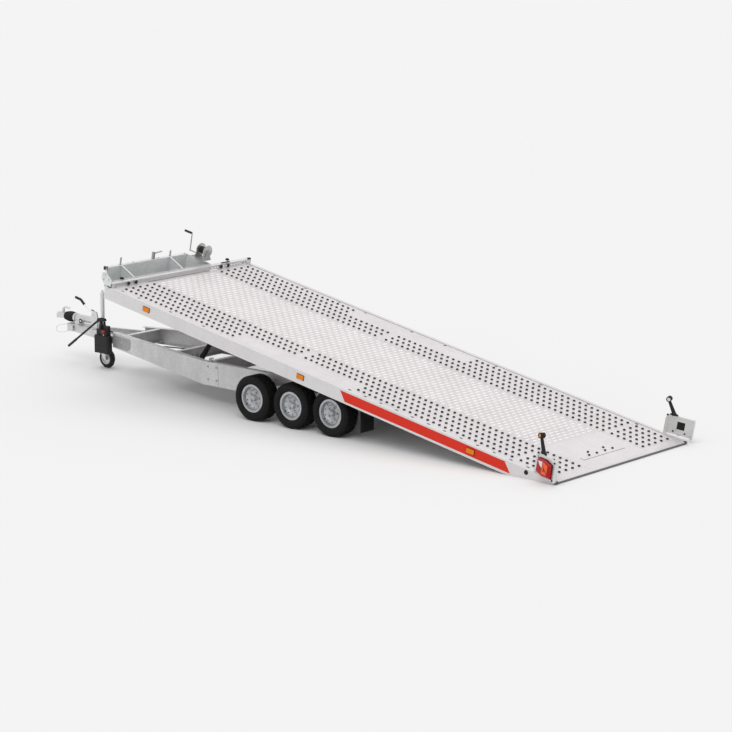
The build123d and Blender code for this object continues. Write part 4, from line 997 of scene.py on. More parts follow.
@dataclass
class Fasteners:
    """Collects the screws or rivets of one body and makes one mesh of them."""

    name: str
    body: str
    finish: Finish = BOLT_ZINC
    domed: bool = False
    places: list[Vector] = field(default_factory=list)
    aims: list[Vector] = field(default_factory=list)
    sizes: list[float] = field(default_factory=list)

    def put(self, place: Matrix, spot: Triple, aim: Vector, size: float) -> None:
        """Add a fastener.

        Args:
            place: Matrix of the drawing.
            spot: Where its washer lies, in millimetres of the drawing.
            aim: Which way its head looks, in the drawing.
            size: Width across its flats in millimetres.
        """
        self.places.append(place @ mm(*spot))
        self.aims.append((place.to_3x3() @ aim).normalized())
        self.sizes.append(size * MM)

    def build(self) -> Piece:
        """Make the piece.

        Returns:
            The finished object.
        """
        points = point_cloud(self.places, aim=self.aims, size=self.sizes)
        mesh = (rivet_tree() if self.domed else fastener_tree()).run(self.name, points, self.finish)
        return settle(self.name, mesh, self.body, self.finish)


# ---------------------------------------------------------------- wheels
@dataclass
class RoadWheel:
    """One road wheel: tyre with its tread and sidewalls, valve and nut caps over the frame's rim."""

    position: str
    side: Side
    tyre_radius: float = 0.234
    half_width: float = 0.0965
    bead_radius: float = 0.1285
    flange_radius: float = 0.147
    bead_half: float = 0.0705
    tread_depth: float = 0.0062
    block_root: float = 0.0006
    block_shy: float = 0.0002
    pitches: int = 58
    nuts: int = 5
    nut_at: Triple = (0.056, 0, 0.0475)
    valve_at: Triple = (0.116, 0, 0.046)
    valve_turn: float = math.radians(36)
    valve_lean: float = math.radians(-24)
    block_rows: tuple[tuple[float, ...], ...] = (
        (0.0, 0.020, 0.0, 0.86, 0.0), (0.0317, 0.019, 0.5, 0.78, 0.35), (-0.0317, 0.019, 0.0, 0.78, -0.35),
        (0.0640, 0.022, 0.25, 0.74, -0.28), (-0.0640, 0.022, 0.75, 0.74, 0.28),
    )

    @property
    def body(self) -> str:
        """Body that carries the wheel."""
        return f"wheel_{self.position}_{self.side.word}"

    def centre(self) -> Vector:
        """Middle of the tyre."""
        low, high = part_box(f"tyre_{self.position}_{self.side.word}")
        return (low + high) / 2

    def place(self) -> Matrix:
        """Wheel's own axes: Z outwards along the axle."""
        return axes(self.centre(), X, self.side.out)

    def carcass(self) -> list[Pair]:
        """Closed outline of the tyre without its tread blocks, as (radius, height)."""
        w, top = self.half_width, self.tyre_radius - self.tread_depth
        bead, flange, inner = self.bead_radius, self.flange_radius, self.bead_half
        half = [(bead, inner - 0.003), (bead + 0.004, inner - 0.0005), (flange, inner + 0.002),
                (flange + 0.004, inner + 0.009), (flange + 0.012, w - 0.0065), (0.170, w - 0.0025),
                (0.173, w - 0.0005), (0.176, w - 0.0005), (0.1785, w - 0.0022), (0.192, w - 0.0015),
                (0.200, w - 0.003), (0.2015, w - 0.0018), (0.204, w - 0.0018), (0.2055, w - 0.0042),
                (0.214, w - 0.0085), (top - 0.004, w - 0.0165), (top, w - 0.0225)]
        grooves = []
        for middle in (0.047, 0.0165):
            grooves += [(top, middle + 0.0048), (top - 0.0035, middle + 0.0036),
                        (top - 0.0035, middle - 0.0036), (top, middle - 0.0048)]
        outer = half + grooves
        return outer + [(r, -h) for r, h in outer[::-1]]

    def tread(self) -> Mesh:
        """Tread blocks: a rib, two rows of slanted blocks a side and the shoulder lugs."""
        spots, aims, acrosses, blocks = [], [], [], []
        base = self.tyre_radius - self.tread_depth - self.block_root
        pitch = math.tau / self.pitches
        for height, width, phase, fill, slant in self.block_rows:
            for k in range(self.pitches):
                angle = (k + phase) * pitch
                out = Vector((math.cos(angle), math.sin(angle), 0))
                round_way = Vector((-math.sin(angle), math.cos(angle), 0))
                spots.append(out * base + Vector((0, 0, height)))
                aims.append(out)
                acrosses.append((Z + slant * round_way).normalized())
                blocks.append((width, pitch * base * fill, self.tyre_radius - base - self.block_shy))
        points = point_cloud(spots, aim=aims, across=acrosses, block=blocks)
        return tread_tree().run("tread", points, TREAD)

    def tyre(self) -> Piece:
        """Make the tyre."""
        blank = Blank()
        place = self.place()
        blank.join_mesh(self.tread(), place)
        for face in blank.bm.faces:
            face.material_index = 1
        blank.turned(place, self.carcass(), 84)
        piece = blank.piece(f"road_tyre_{self.position}_{self.side.word}", self.body, TYRE, TREAD,
                            crease=28.0)
        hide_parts(f"tyre_{self.position}_{self.side.word}")
        return piece

    def trim(self) -> Piece:
        """Nut caps with their washers, the hub cap and its ring, and the valve."""
        blank, place = Blank(), self.place()
        for k in range(self.nuts):
            turn = Matrix.Rotation(math.tau * (k + 0.5) / self.nuts * -self.side.value, 4, "Z")
            spot = place @ turn @ Matrix.Translation(self.nut_at)
            blank.turned(spot, [(0.0, 0.0), (0.0088, 0.0), (0.0076, 0.003), (0.0052, 0.0045),
                                (0.0052, 0.0068), (0.0, 0.0074)], 10)
            blank.turned(spot, [(0.0108, -0.0134), (0.0148, -0.0134), (0.0142, -0.0108), (0.0108, -0.0100)],
                         14)
        blank.turned(place, [(0.0225, 0.0585), (0.0205, 0.0618), (0.0150, 0.0632), (0.0, 0.0636),
                             (0.0, 0.0596), (0.0222, 0.0580)], 28)
        blank.turned(place, [(0.0345, 0.0335), (0.0382, 0.0342), (0.0376, 0.0372), (0.0345, 0.0376)], 32)
        turn, lean = Matrix.Rotation(self.valve_turn, 4, "Z"), Matrix.Rotation(self.valve_lean, 4, "Y")
        valve = place @ turn @ Matrix.Translation(self.valve_at) @ lean
        blank.turned(valve, [(0.0, 0.0), (0.0052, 0.0), (0.0046, 0.012), (0.0034, 0.016), (0.0034, 0.026),
                             (0.0, 0.027)], 12, slot=1)
        return blank.piece(f"wheel_trim_{self.position}_{self.side.word}", self.body, SILVER, RUBBER,
                           crease=30.0)

    def build(self) -> list[Piece]:
        """Make the wheel's pieces."""
        return [self.tyre(), self.trim()]


# ---------------------------------------------------------------- deck
@dataclass
class Deck:
    """Punched tracks with collars under their holes, bars on the middle sheet and the rear plate's trim."""

    deck_w: float = 131.0
    track: Pair = (470.0, 1056.0)
    length: Pair = (22.0, 5940.0)
    fold_start: float = 60.0
    fold: float = 31.0
    sheet_t: float = 3.0
    row_start: float = 517.5
    row_pitch: float = 103.2
    zones: tuple[tuple[float, float, int], ...] = ((124.0, 75.0, 6), (606.0, 74.7, 39), (3599.0, 75.0, 31))
    lashing_v: float = 1000.0
    lashing: dict[Side, list[float]] = field(default_factory=lambda: {
        Side.LEFT: [360 + 203.6 * k for k in range(12)] + [4390 + 240 * k for k in range(7)],
        Side.RIGHT: [545, 1150, 1760, 2350, 3040, 3500, 4160, 4540, 5040, 5510, 5880],
    })
    hole_r: float = 12.8
    drain_r: float = 11.0
    screw_us: Triple = (45.0, 321.5, 598.0)
    slot_r: float = 12.0
    slot_half: float = 8.0
    bar_start: float = 664.0
    bar_end: float = 5905.0
    bar_rows: float = 53.0
    bar_pitch: float = 92.0
    drains: tuple[Pair, ...] = ((252, 187), (252, 63), (252, -70), (252, -190), (310, 130), (310, -119))
    groove: tuple[Pair, ...] = ((253, 325), (200, 339), (196, -317))

    def holes(self) -> list[Pair]:
        """Places (u, v) of the left track's round holes: three zones, outer rows cut short between them."""
        spots = []
        for zone, (start, pitch, count) in enumerate(self.zones):
            for k in range(count):
                u = start + pitch * k
                for row in range(5):
                    outer_gap = row > 2 and ((zone == 1 and u > 2560) or (zone == 2 and u < 4260))
                    if not outer_gap:
                        spots.append((u, self.row_start + self.row_pitch * row))
        return spots

    def slot_loop(self, u: float, v: float) -> list[Pair]:
        """Outline of one oval lashing slot."""
        turns = [math.tau * k / 16 for k in range(16)]
        wide = [math.copysign(self.slot_half, math.cos(t)) for t in turns]
        return [(u + w + self.slot_r * math.cos(t), v + self.slot_r * math.sin(t))
                for t, w in zip(turns, wide)]

    def track_sheet(self, side: Side) -> Piece:
        """Make one wheel track.

        Args:
            side: Side of the trailer.

        Returns:
            The finished object.
        """
        (v0, v1), (u0, u1) = self.track, self.length
        sign = side.value
        loops = [[(u0, v0), (u1, v0), (u1, v1), (u0, v1)]]
        loops += [self.slot_loop(u, self.lashing_v) for u in self.lashing[side]]
        verts, edges = [], []
        for loop in loops:
            first = len(verts)
            verts += [(u * MM, v * sign * MM, 0.0) for u, v in loop]
            edges += [(first + k, first + (k + 1) % len(loop)) for k in range(len(loop))]
        spots = [(u * MM, v * sign * MM, 0.0) for u, v in self.holes()]
        mesh = punched("track", verts, edges, spots, self.hole_r * MM)
        sheet = sheet_tree().run("track", mesh, DECK, Thickness=0.0014)
        blank = Blank()
        blank.join_mesh(sheet, BED @ Matrix.Translation((0, 0, self.deck_w * MM)))
        for v in (v0, v1 - self.sheet_t):
            low, high = side.span(v * MM, (v + self.sheet_t) * MM)
            foot, top = (self.deck_w - self.fold) * MM, (self.deck_w - self.sheet_t * 0.5) * MM
            blank.box(BED, (self.fold_start * MM, low, foot), (u1 * MM, high, top))
        return blank.piece(f"track_sheet_{side.word}", "bed", DECK, crease=25.0)

    def hole_walls(self) -> list[Piece]:
        """Pressed collars under the round holes of the tracks and the drain holes, coloured dark as painted shade
        for the shadow seen through the holes.
        """
        spots = [mm(u, v * side.value, self.deck_w) for side in Side for u, v in self.holes()]
        drains = [mm(u, v, self.deck_w) for u, v in self.drains]
        pieces = []
        for name, places, radius in (("hole_walls", spots, self.hole_r),
                                     ("drain_walls", drains, self.drain_r)):
            mesh = wall_tree().run(name, point_cloud(places, hole=[radius * MM] * len(places)), PAINTED_SHADE_WALLS)
            mesh.transform(BED)
            pieces.append(settle(name, mesh, "bed", PAINTED_SHADE_WALLS))
        return pieces

    def anti_slip(self) -> Piece:
        """Raised bars of the middle sheet, across the bed in staggered rows, painted near white as a highlight."""
        spots = []
        for row in range(100):
            u, shift = self.bar_start + self.bar_rows * row, 0.5 * (row % 2)
            steps = [j + shift for j in range(-5, 6) if u < self.bar_end and abs(j + shift) < 4.7]
            spots += [mm(u, step * self.bar_pitch, self.deck_w) for step in steps]
        points = point_cloud(spots, turn=[math.pi / 2] * len(spots), size=[1.0] * len(spots))
        mesh = bar_tree().run("anti_slip", points, HIGHLIT_BARS)
        mesh.transform(BED)
        return settle("anti_slip_bars", mesh, "bed", HIGHLIT_BARS)

    def rear_trim(self) -> Piece:
        """Painted shade as a dark bed in the groove, and the bright strip where the rear plate meets the middle
        sheet.
        """
        blank = Blank()
        for (u0, v0), (u1, v1) in zip(self.groove, self.groove[1:]):
            run = mm(u1 - u0, v1 - v0, 0)
            place = BED @ axes(mm(u0, v0, self.deck_w), run, Z)
            # Painted shade: the groove's bed is a dark strip that stands in for the shadow inside the groove.
            blank.box(place, (-0.003, -0.0046, -0.0014), (run.length + 0.003, 0.0046, -0.0001), slot=1)
        strip = BED @ Matrix.Translation(mm(0, 0, self.deck_w))
        blank.box(strip, (0.612, -0.466, -0.0005), (0.630, 0.466, 0.0012))
        return blank.piece("rear_plate_trim", "bed", REAR_SHEET, PAINTED_SHADE_WALLS)

    def build(self) -> list[Piece]:
        """Make the deck's pieces."""
        sheets = [self.track_sheet(side) for side in Side]
        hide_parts("deck_tracks")
        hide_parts("deck_tracks")
        screws = Fasteners("deck_screws", "bed", domed=True)
        for sign in (1, -1):
            for u in self.screw_us:
                screws.put(BED, (u, 440 * sign, self.deck_w), Z, 12)
        return sheets + self.hole_walls() + [self.anti_slip(), self.rear_trim(), screws.build()]


# ---------------------------------------------------------------- rails
@dataclass
class Rails:
    """Trim of the side rails: the bare red stripe, gaskets and ribs of the lamps, rims of the plugs."""

    rail_y: float = 1065.0
    film: float = 0.35
    marker_us: Triple = (991.0, 3194.0, 5397.0)
    plug: Pair = (326.0, 104.0)
    ribs: range = range(-8, 9)
    rib_pitch: float = 4.9
    stripe: tuple[Pair, ...] = ((504.0, 26.0), (2588.0, 20.0), (2666.0, 116.0), (585.0, 122.0))

    def stripes(self) -> Piece:
        """Red film along the rear of both rails."""
        blank = Blank()
        for side in Side:
            sign = -side.value
            outline = scaled(self.stripe, sign)
            place = axes(BED @ mm(0, self.rail_y * side.value, 0), AHEAD, side.out)
            blank.prism(place, outline if sign > 0 else outline[::-1], 0.00002, self.film * MM)
        return blank.piece("red_stripes", "bed", RED_FILM)

    def gaskets(self) -> Piece:
        """Black gaskets behind the amber lamps and the rims of the rubber plugs."""
        blank = Blank()
        for side in Side:
            v0, v1 = side.span(self.rail_y * MM, (self.rail_y + 3) * MM)
            for u in self.marker_us:
                blank.box(BED, ((u - 50) * MM, v0, 0.0475), ((u + 50) * MM, v1, 0.1015))
            hub = axes(BED @ mm(self.plug[0], self.rail_y * side.value, self.plug[1]), X, side.out)
            blank.turned(hub, [(0.0182, 0.0), (0.0235, 0.0), (0.0225, 0.003), (0.0182, 0.0036)], 24)
            blank.turned(hub, [(0.0, 0.0045), (0.009, 0.0045), (0.008, 0.0062), (0.0, 0.0066)], 16)
        return blank.piece("rail_gaskets", "bed", RUBBER)

    def marker_lenses(self) -> Piece:
        """Ribbed faces of the amber lamps."""
        blank = Blank()
        for side in Side:
            out = self.rail_y + 10.6
            v0, v1 = side.span(out * MM, (out + 1.3) * MM)
            for u in self.marker_us:
                for k in self.ribs:
                    u_mid = (u + k * self.rib_pitch) * MM
                    blank.box(BED, (u_mid - 0.0019, v0, 0.0555), (u_mid + 0.0019, v1, 0.0935))
        return blank.piece("amber_lamp_ribs", "bed", AMBER_LENS)

    def build(self) -> list[Piece]:
        """Make the rails' pieces."""
        return [self.stripes(), self.gaskets(), self.marker_lenses()]


# ---------------------------------------------------------------- lamps
@dataclass
class LampSet:
    """Tail lamp and outline marker of one side, on the swinging bracket."""

    side: Side
    pivot: Pair = (240.0, 1044.0)
    splay: float = 19.3
    low: float = 150.0
    high: float = 343.0

    @property
    def place(self) -> Matrix:
        """Bracket's own drawing: X forward from its pivot, Y out, Z up, in millimetres turned to metres."""
        turn = Matrix.Rotation(math.radians(-self.splay), 4, "Z")
        mirror = Matrix.Diagonal((1, self.side.value, 1, 1))
        return BED @ mirror @ Matrix.Translation(mm(*self.pivot, 0)) @ turn

    def ring(self, outline: Sequence[Pair], out: float) -> list[Vector]:
        """Points of an outline (forward, up) at a distance in front of the plate."""
        return [self.place @ mm(a, out, self.low + w) for a, w in outline]

    def lens(self) -> Piece:
        """Faceted lens with its gasket, the orange end, the pale window and a red reflector."""
        base = [(-262, 16), (-254, 152), (-150, 170), (-34, 152), (-22, 12), (-140, -6)]
        shoulder = [(-258, 20), (-250, 148), (-150, 165), (-38, 148), (-27, 17), (-140, -1)]
        crown = [(-229, 32), (-226, 138), (-150, 151), (-60, 137), (-54, 28), (-140, 12)]
        blank = Blank()
        blank.skin([self.ring(base, 0.3), self.ring(base, 7.0)], 3)
        blank.skin([self.ring(shoulder, 6.0), self.ring(shoulder, 16.0), self.ring(crown, 40.0)], 0)
        orange = [(-226, 60), (-224, 134), (-150, 148), (-150, 118)]
        lower = [(-224, 44), (-150, 108), (-140, 60), (-140, 28)]
        pale = [(-138, 86), (-138, 146), (-66, 134), (-100, 100)]
        for outline, slot in ((orange, 1), (lower, 1), (pale, 2)):
            blank.skin([self.ring(outline, 39.0), self.ring(outline, 41.0)], slot)
        reflector = [(-196, 70), (-168, 104), (-158, 58)]
        blank.skin([self.ring(reflector, 40.8), self.ring(reflector, 41.8)], 0)
        word = self.side.word
        piece = blank.piece(f"lens_{word}", f"lamp_{word}", RED_LENS, ORANGE_LENS, CLEAR_LENS, RUBBER,
                            crease=12.0, bevel=0.0012)
        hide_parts(f"tail_lamp_{word}")
        return piece

    def marker(self) -> Piece:
        """Outline marker: stepped rubber arm and a round head with a lens on each face."""
        top, blank, word = self.high, Blank(), self.side.word
        foot, tip = mm(-70, -11, top + 2), mm(10, -11, top + 136)
        arm, reach = self.place @ axes(foot, Y, tip - foot), (tip - foot).length
        blank.turned(arm, [(0.0, 0.0), (0.024, 0.0), (0.024, 0.010), (0.0205, 0.014), (0.0150, reach - 0.012),
                           (0.0120, reach), (0.0, reach)], 16)
        head = self.place @ axes(mm(12, -38, top + 152), X, Y)
        blank.turned(head, [(0.0, 0.003), (0.020, 0.003), (0.021, 0.0), (0.0255, 0.0), (0.027, 0.003),
                            (0.027, 0.051), (0.0255, 0.054), (0.021, 0.054), (0.020, 0.050), (0.0, 0.050)],
                     28)
        blank.turned(head, [(0.0, 0.0005), (0.014, 0.0012), (0.0200, 0.0040), (0.0, 0.0040)], 24, slot=1)
        blank.turned(head, [(0.0, 0.0535), (0.014, 0.0528), (0.0200, 0.0490), (0.0, 0.0490)], 24, slot=2)
        piece = blank.piece(f"marker_{word}", f"lamp_{word}", RUBBER, CLEAR_LENS, AMBER_LENS, crease=28.0)
        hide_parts(f"outline_marker_{word}")
        return piece

    def fittings(self) -> Piece:
        """Nuts behind the lens, the end caps and the cap of the pivot sleeve."""
        blank, word = Blank(), self.side.word
        for a in (-200, -80):
            spot = self.place @ axes(mm(a, -4, self.low + 30), X, -Y)
            blank.turned(spot, [(0.0, 0.0), (0.010, 0.0), (0.010, 0.002), (0.0065, 0.0025), (0.0065, 0.008),
                                (0.0, 0.009)], 6)
        sleeve = self.place @ Matrix.Translation(mm(0, 0, self.low + 176))
        blank.turned(sleeve, [(0.0, 0.0), (0.0125, 0.0), (0.0125, 0.006), (0.009, 0.012), (0.0, 0.013)], 16)
        foot = self.place @ Matrix.Translation(mm(-66, -11, self.high))
        blank.box(foot, (-0.040, -0.013, 0.001), (0.040, 0.013, 0.012), 0.005)
        for w in (10, 182):
            spot = self.place @ axes(mm(-274, 0, self.low + w), X, Y)
            blank.turned(spot, [(0.0, 0.0), (0.009, 0.0), (0.009, 0.005), (0.006, 0.009), (0.0, 0.010)], 12)
        return blank.piece(f"lamp_fittings_{word}", f"lamp_{word}", PLASTIC, crease=30.0)

    def build(self) -> list[Piece]:
        """Make the lamp's pieces."""
        return [self.lens(), self.marker(), self.fittings()]


# ---------------------------------------------------------------- front of the bed
def star(radius: float, lobes: int, depth: float) -> list[Pair]:
    """Outline of a star knob, its lobes rounded by a wave.

    Args:
        radius: Middle radius in metres.
        lobes: How many lobes go round.
        depth: Height of each lobe in metres.

    Returns:
        The outline's corners.
    """
    count = lobes * 8
    turns = [math.tau * k / count for k in range(count)]
    reaches = [radius + depth * math.cos(lobes * t) for t in turns]
    return [(reach * math.cos(t), reach * math.sin(t)) for t, reach in zip(turns, reaches)]


@dataclass
class StopBar:
    """Perforated wheel-stop bar with its stop plates, star knobs and end caps."""

    start_u: float = 5945.0
    depth: float = 58.0
    seat_w: float = 137.0
    height: float = 43.0
    half_v: float = 1059.0
    hole_r: float = 10.0
    hole_pitch: float = 44.0
    knob_mids: Pair = (767.5, -640.0)
    knob_half: float = 55.0

    def rear_face(self) -> Matrix:
        """Drawing on the bar's rear face: X to the right, Y up, Z rearwards."""
        return axes(BED @ mm(self.start_u, 0, self.seat_w), -Y, -AHEAD)

    def face_sheet(self) -> Mesh:
        """Perforated rear face."""
        h, v = self.height * MM, self.half_v * MM
        verts = [(-v, 0.0, 0.0), (v, 0.0, 0.0), (v, h, 0.0), (-v, h, 0.0)]
        count = int(2 * (self.half_v - 30) // self.hole_pitch)
        spots = [((k - (count - 1) / 2) * self.hole_pitch * MM, h * 0.5, 0.0) for k in range(count)]
        mesh = punched("bar_face", verts, [(0, 1), (1, 2), (2, 3), (3, 0)], spots, self.hole_r * MM)
        return sheet_tree().run("bar_face", mesh, RAIL_ZINC, Thickness=0.002, Collar=0.0004, Spread=0.002,
                                Sides=12)

    def bar(self) -> Piece:
        """Make the bar and its stop plates."""
        blank = Blank()
        blank.join_mesh(self.face_sheet(), self.rear_face())
        u0, u1, w0, w1 = self.start_u, self.start_u + self.depth, self.seat_w, self.seat_w + self.height
        v = self.half_v * MM
        blank.box(BED, (u0 * MM, -v, (w1 - 3) * MM), (u1 * MM, v, w1 * MM))
        blank.box(BED, ((u1 - 4) * MM, -v, w0 * MM), (u1 * MM, v, (w1 - 2.9) * MM))
        for side in Side:
            low, high = side.span(0.5375, 0.9975)
            blank.box(BED, ((u0 - 66) * MM, low, 0.1310), ((u0 - 1) * MM, high, 0.1340))
            blank.box(BED, ((u0 - 4.5) * MM, low, 0.1338), ((u0 - 1) * MM, high, 0.1480))
        piece = blank.piece("stop_bar", "bed", RAIL_ZINC)
        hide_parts("wheel_stop_bar")
        return piece

    def fittings(self) -> Piece:
        """Make the star knobs, the clamp on the bar's top and the end caps."""
        blank = Blank()
        face = self.rear_face()
        knob = star(0.0175, 5, 0.0035)
        for mid in self.knob_mids:
            for dv in (-self.knob_half, self.knob_half):
                spot = face @ Matrix.Translation((-(mid + dv) * MM, self.height * 0.55 * MM, 0.0))
                blank.turned(spot, band(0.0, 0.012, 0.009), 12, slot=1)
                blank.prism(spot, knob, 0.010, 0.022)
                blank.turned(spot, [(0.0, 0.021), (0.011, 0.021), (0.009, 0.026), (0.0, 0.0265)], 14)
        for u, v in ((self.start_u + 26, -712), (self.start_u + 66, 851)):
            top = BED @ Matrix.Translation(mm(u, v, self.seat_w + self.height + (14 if v < 0 else -4)))
            blank.turned(top, band(0.0, 0.018, 0.008), 12, slot=1)
            blank.prism(top, star(0.020, 5, 0.004), 0.014, 0.028)
            blank.turned(top, [(0.0, 0.027), (0.013, 0.027), (0.010, 0.034), (0.0, 0.0345)], 14)
        far = BED @ Matrix.Translation(mm(self.start_u + 4, -1046, self.seat_w + self.height))
        blank.box(far, (-0.010, -0.019, 0.002), (0.016, 0.019, 0.016), 0.003)
        rod_w = self.seat_w + self.height + 8
        blank.bar([BED @ mm(self.start_u + 26, v, rod_w) for v in (-622, -752)], 0.0055, 10)
        u0, u1, w1 = self.start_u - 2, self.start_u + self.depth + 2, self.seat_w + self.height + 2
        for side in Side:
            low, high = side.span(1.0592, 1.0648)
            blank.box(BED, (u0 * MM, low, self.seat_w * MM), (u1 * MM, high, w1 * MM))
        piece = blank.piece("bar_knobs", "bed", PLASTIC, BOLT_ZINC, crease=30.0, bevel=0.0008)
        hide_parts("bar_fittings")
        return piece

    def build(self) -> list[Piece]:
        """Make the bar's pieces."""
        return [self.bar(), self.fittings()]


@dataclass
class RearLip:
    """Thin rear edge of the bed: a bright strip over a rounded lip painted dark as shade on its underside, capped
    at both ends.
    """

    half_v: float = 1063.0

    def build(self) -> list[Piece]:
        """Make the strip, the lip and the caps."""
        across = axes(BED @ mm(0, -self.half_v, 0), AHEAD, Y)
        strip = [(24, 126), (-14, 126), (-19, 128), (-19, 131), (-14, 131.6), (24, 131.6)]
        lip = [(-1, 109), (-17, 109), (-23, 112), (-26, 118), (-26, 124), (-20, 127.9), (-14, 125.9),
               (-1, 125.9)]
        blank, span = Blank(), 2 * self.half_v * MM
        blank.prism(across, scaled(strip, -1), 0.0035, span - 0.0035)
        # Painted shade: the lip and its caps take the dark finish for the shadow under the rear edge.
        blank.prism(across, scaled(lip, -1), 0.0, span, slot=1)
        cap = [(-2, 108.5), (-20, 108.5), (-26, 116), (-26, 126), (-20, 133.5), (-2, 133.5)]
        for start in (-0.0015, span - 0.020):
            blank.prism(across, scaled(cap, -1), start, start + 0.0215, slot=1)
        for v in (-1.046, 1.046):
            blank.box(BED @ Matrix.Translation((0, v, 0)), (-0.0245, -0.017, 0.110), (0.024, 0.017, 0.1325),
                      0.003, slot=2)
        piece = blank.piece("rear_edge", "bed", RAIL_ZINC, PAINTED_SHADE_LIP, PLASTIC)
        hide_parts("rear_lip")
        return [piece]


@dataclass
class FrontBox:
    """Tool box with its pins, lever, bolts and folded edges, and the winch's seat and drum."""

    front_u: float = 6216.0
    top_w: float = 257.0
    bar_u: float = 5945.0
    bar_top: float = 167.0
    rear_u: float = 6003.0
    sheet: float = 3.0
    dividers: Pair = (670.0, -60.0)
    winch_vs: Pair = (-486.0, -388.0)

    def aside(self, start: Pair, end: Pair, reach: float) -> Vector:
        """Step of a length to the left of a run in the plan."""
        run = Vector((end[0] - start[0], end[1] - start[1])).normalized()
        return Vector((-run.y, run.x)) * reach

    def edge(self, blank: Blank, start: Pair, end: Pair, half: float) -> None:
        """Add a folded edge along a wall of the box.

        Args:
            blank: Mesh that takes it.
            start: Plan place (forward, left) of its start in millimetres.
            end: Plan place of its end.
            half: Half its width.
        """
        across, section = self.aside(start, end, half), ((-1, -2.2), (1, -2.2), (1, 0.8), (-1, 0.8))
        blank.skin([[BED @ mm(u + across.x * k, v + across.y * k, self.rim(u) + up) for k, up in section]
                    for u, v in (start, end)], 2)

    def rim(self, u: float) -> float:
        """Height of the box's rim at a place along the bed."""
        return self.bar_top + (u - self.bar_u) * (self.top_w - self.bar_top) / (self.front_u - self.bar_u)

    def wall(self, blank: Blank, start: Pair, end: Pair) -> None:
        """Add an upright wall from the floor to the sloping rim.

        Args:
            blank: Mesh that takes it.
            start: Plan place (forward, left) of its start in millimetres.
            end: Plan place of its end; the wall's thickness lies on the left of this run.
        """
        across = self.aside(start, end, self.sheet)
        plan = [Vector(start), Vector(end), Vector(end) + across, Vector(start) + across]
        blank.skin([[BED @ mm(p.x, p.y, 60) for p in plan],
                    [BED @ mm(p.x, p.y, self.rim(p.x)) for p in plan]])

    def trough(self) -> Piece:
        """Make the box's walls, floor, dividers, front tube and end plate."""
        blank = Blank()
        corners = [(self.rear_u, 1006), (self.rear_u, -488), (self.front_u, -320), (self.front_u, 898),
                   (6036, 1031)]
        for start, end in zip(corners, corners[1:]):
            self.wall(blank, start, end)
        for v in self.dividers:
            self.wall(blank, (self.front_u - 3, v), (self.rear_u + 3, v))
        floor = [(6004, -486), (6215, -319), (6215, 897), (6036, 1030), (6036, 1006), (6004, 1006)]
        blank.prism(BED, scaled(floor), 0.060, 0.063)
        blank.box(BED, (6.216, -0.332, 0.231), (6.256, 0.872, 0.257), 0.003)
        side = axes(BED.translation, AHEAD, BED.to_3x3() @ -Y)
        plate = [(5949, 150), (6050, 150), (6098, 205), (6090, 268), (6049, 292), (5945, 222)]
        blank.prism(side, scaled(plate), -1.069, -1.065)
        piece = blank.piece("tool_box", "bed", BOX_ZINC, crease=30.0, bevel=0.0008)
        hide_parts("front_box")
        return piece

    def fittings(self) -> Piece:
        """Make the pins, the lever with its ears and grip, and the tube's end cap."""
        blank = Blank()
        for v, height in ((670, 80), (-76, 65)):
            pin = BED @ Matrix.Translation(mm(6236, v, 257))
            blank.turned(pin, [(0.0, 0.0), (0.009, 0.0), (0.009, height * MM - 0.002), (0.007, height * MM),
                               (0.0, height * MM)], 18)
            blank.turned(pin, [(0.0, 0.0), (0.015, 0.0), (0.013, 0.004), (0.0, 0.004)], 18)
        for v in (170, 189):
            blank.box(BED, (6.222, v * MM, 0.257), (6.250, (v + 5) * MM, 0.335))
        blank.bar([BED @ mm(6236, v, 321) for v in (200, 150)], 0.006, 12)
        blank.bar([BED @ mm(6236, v, w) for v, w in ((156, 321), (132, 323), (60, 330))], 0.008, 14, slot=2)
        blank.box(BED, (6.213, 0.872, 0.226), (6.259, 0.894, 0.261), 0.003, slot=1)
        piece = blank.piece("box_fasteners", "bed", BRACKET_ZINC, PLASTIC, GEAR_STEEL, crease=30.0)
        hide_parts("box_fittings")
        return piece

    def winch_seat(self) -> Piece:
        """Make the winch's base plate with its two tapered cheeks."""
        blank = Blank()
        blank.box(BED, (6.014, -0.499, 0.223), (6.222, -0.375, 0.231), 0.006)
        face = axes(BED.translation, BED.to_3x3() @ Y, AHEAD)
        cheek = [(-495, 230), (-379, 230), (-398, 262), (-423, 336), (-451, 336), (-476, 262)]
        for u in (6014, 6160):
            blank.prism(face, scaled(cheek), u * MM, (u + 5) * MM)
        for u in (6030, 6143):
            for v in self.winch_vs:
                blank.turned(BED @ Matrix.Translation(mm(u, v, 231)),
                             [(0.0, 0.0), (0.008, 0.0), (0.008, 0.005), (0.0, 0.0055)], 6)
        piece = blank.piece("winch_seat", "bed", BRACKET_ZINC, crease=30.0, bevel=0.0008)
        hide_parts("winch_frame")
        return piece

    def drum(self) -> Piece:
        """Make the winch's drum: rimmed flanges, dark core, gear and shaft."""
        blank = Blank()
        place = axes(BED @ mm(6042, -437, 322), Y, AHEAD)
        for low in (-0.020, 0.080):
            blank.turned(place, [(0.0101, low), (0.0101, low + 0.005), (0.063, low + 0.005),
                                 (0.066, low + 0.0075), (0.0705, low + 0.0065), (0.071, low + 0.002),
                                 (0.067, low)], 48)
            blank.turned(place, band(low - 0.002, low + 0.007, 0.024, 0.0101), 28)
        blank.turned(place, band(-0.0152, 0.0802, 0.038, 0.0101), 36, slot=1)
        blank.turned(place, band(-0.034, 0.130, 0.010), 24)
        blank.prism(place, star(0.0500, 60, 0.0014), 0.098, 0.108)
        piece = blank.piece("winch_reel", "winch_drum", GEAR_STEEL, BLACK_PAINT, crease=30.0)
        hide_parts("winch_drum")
        return piece

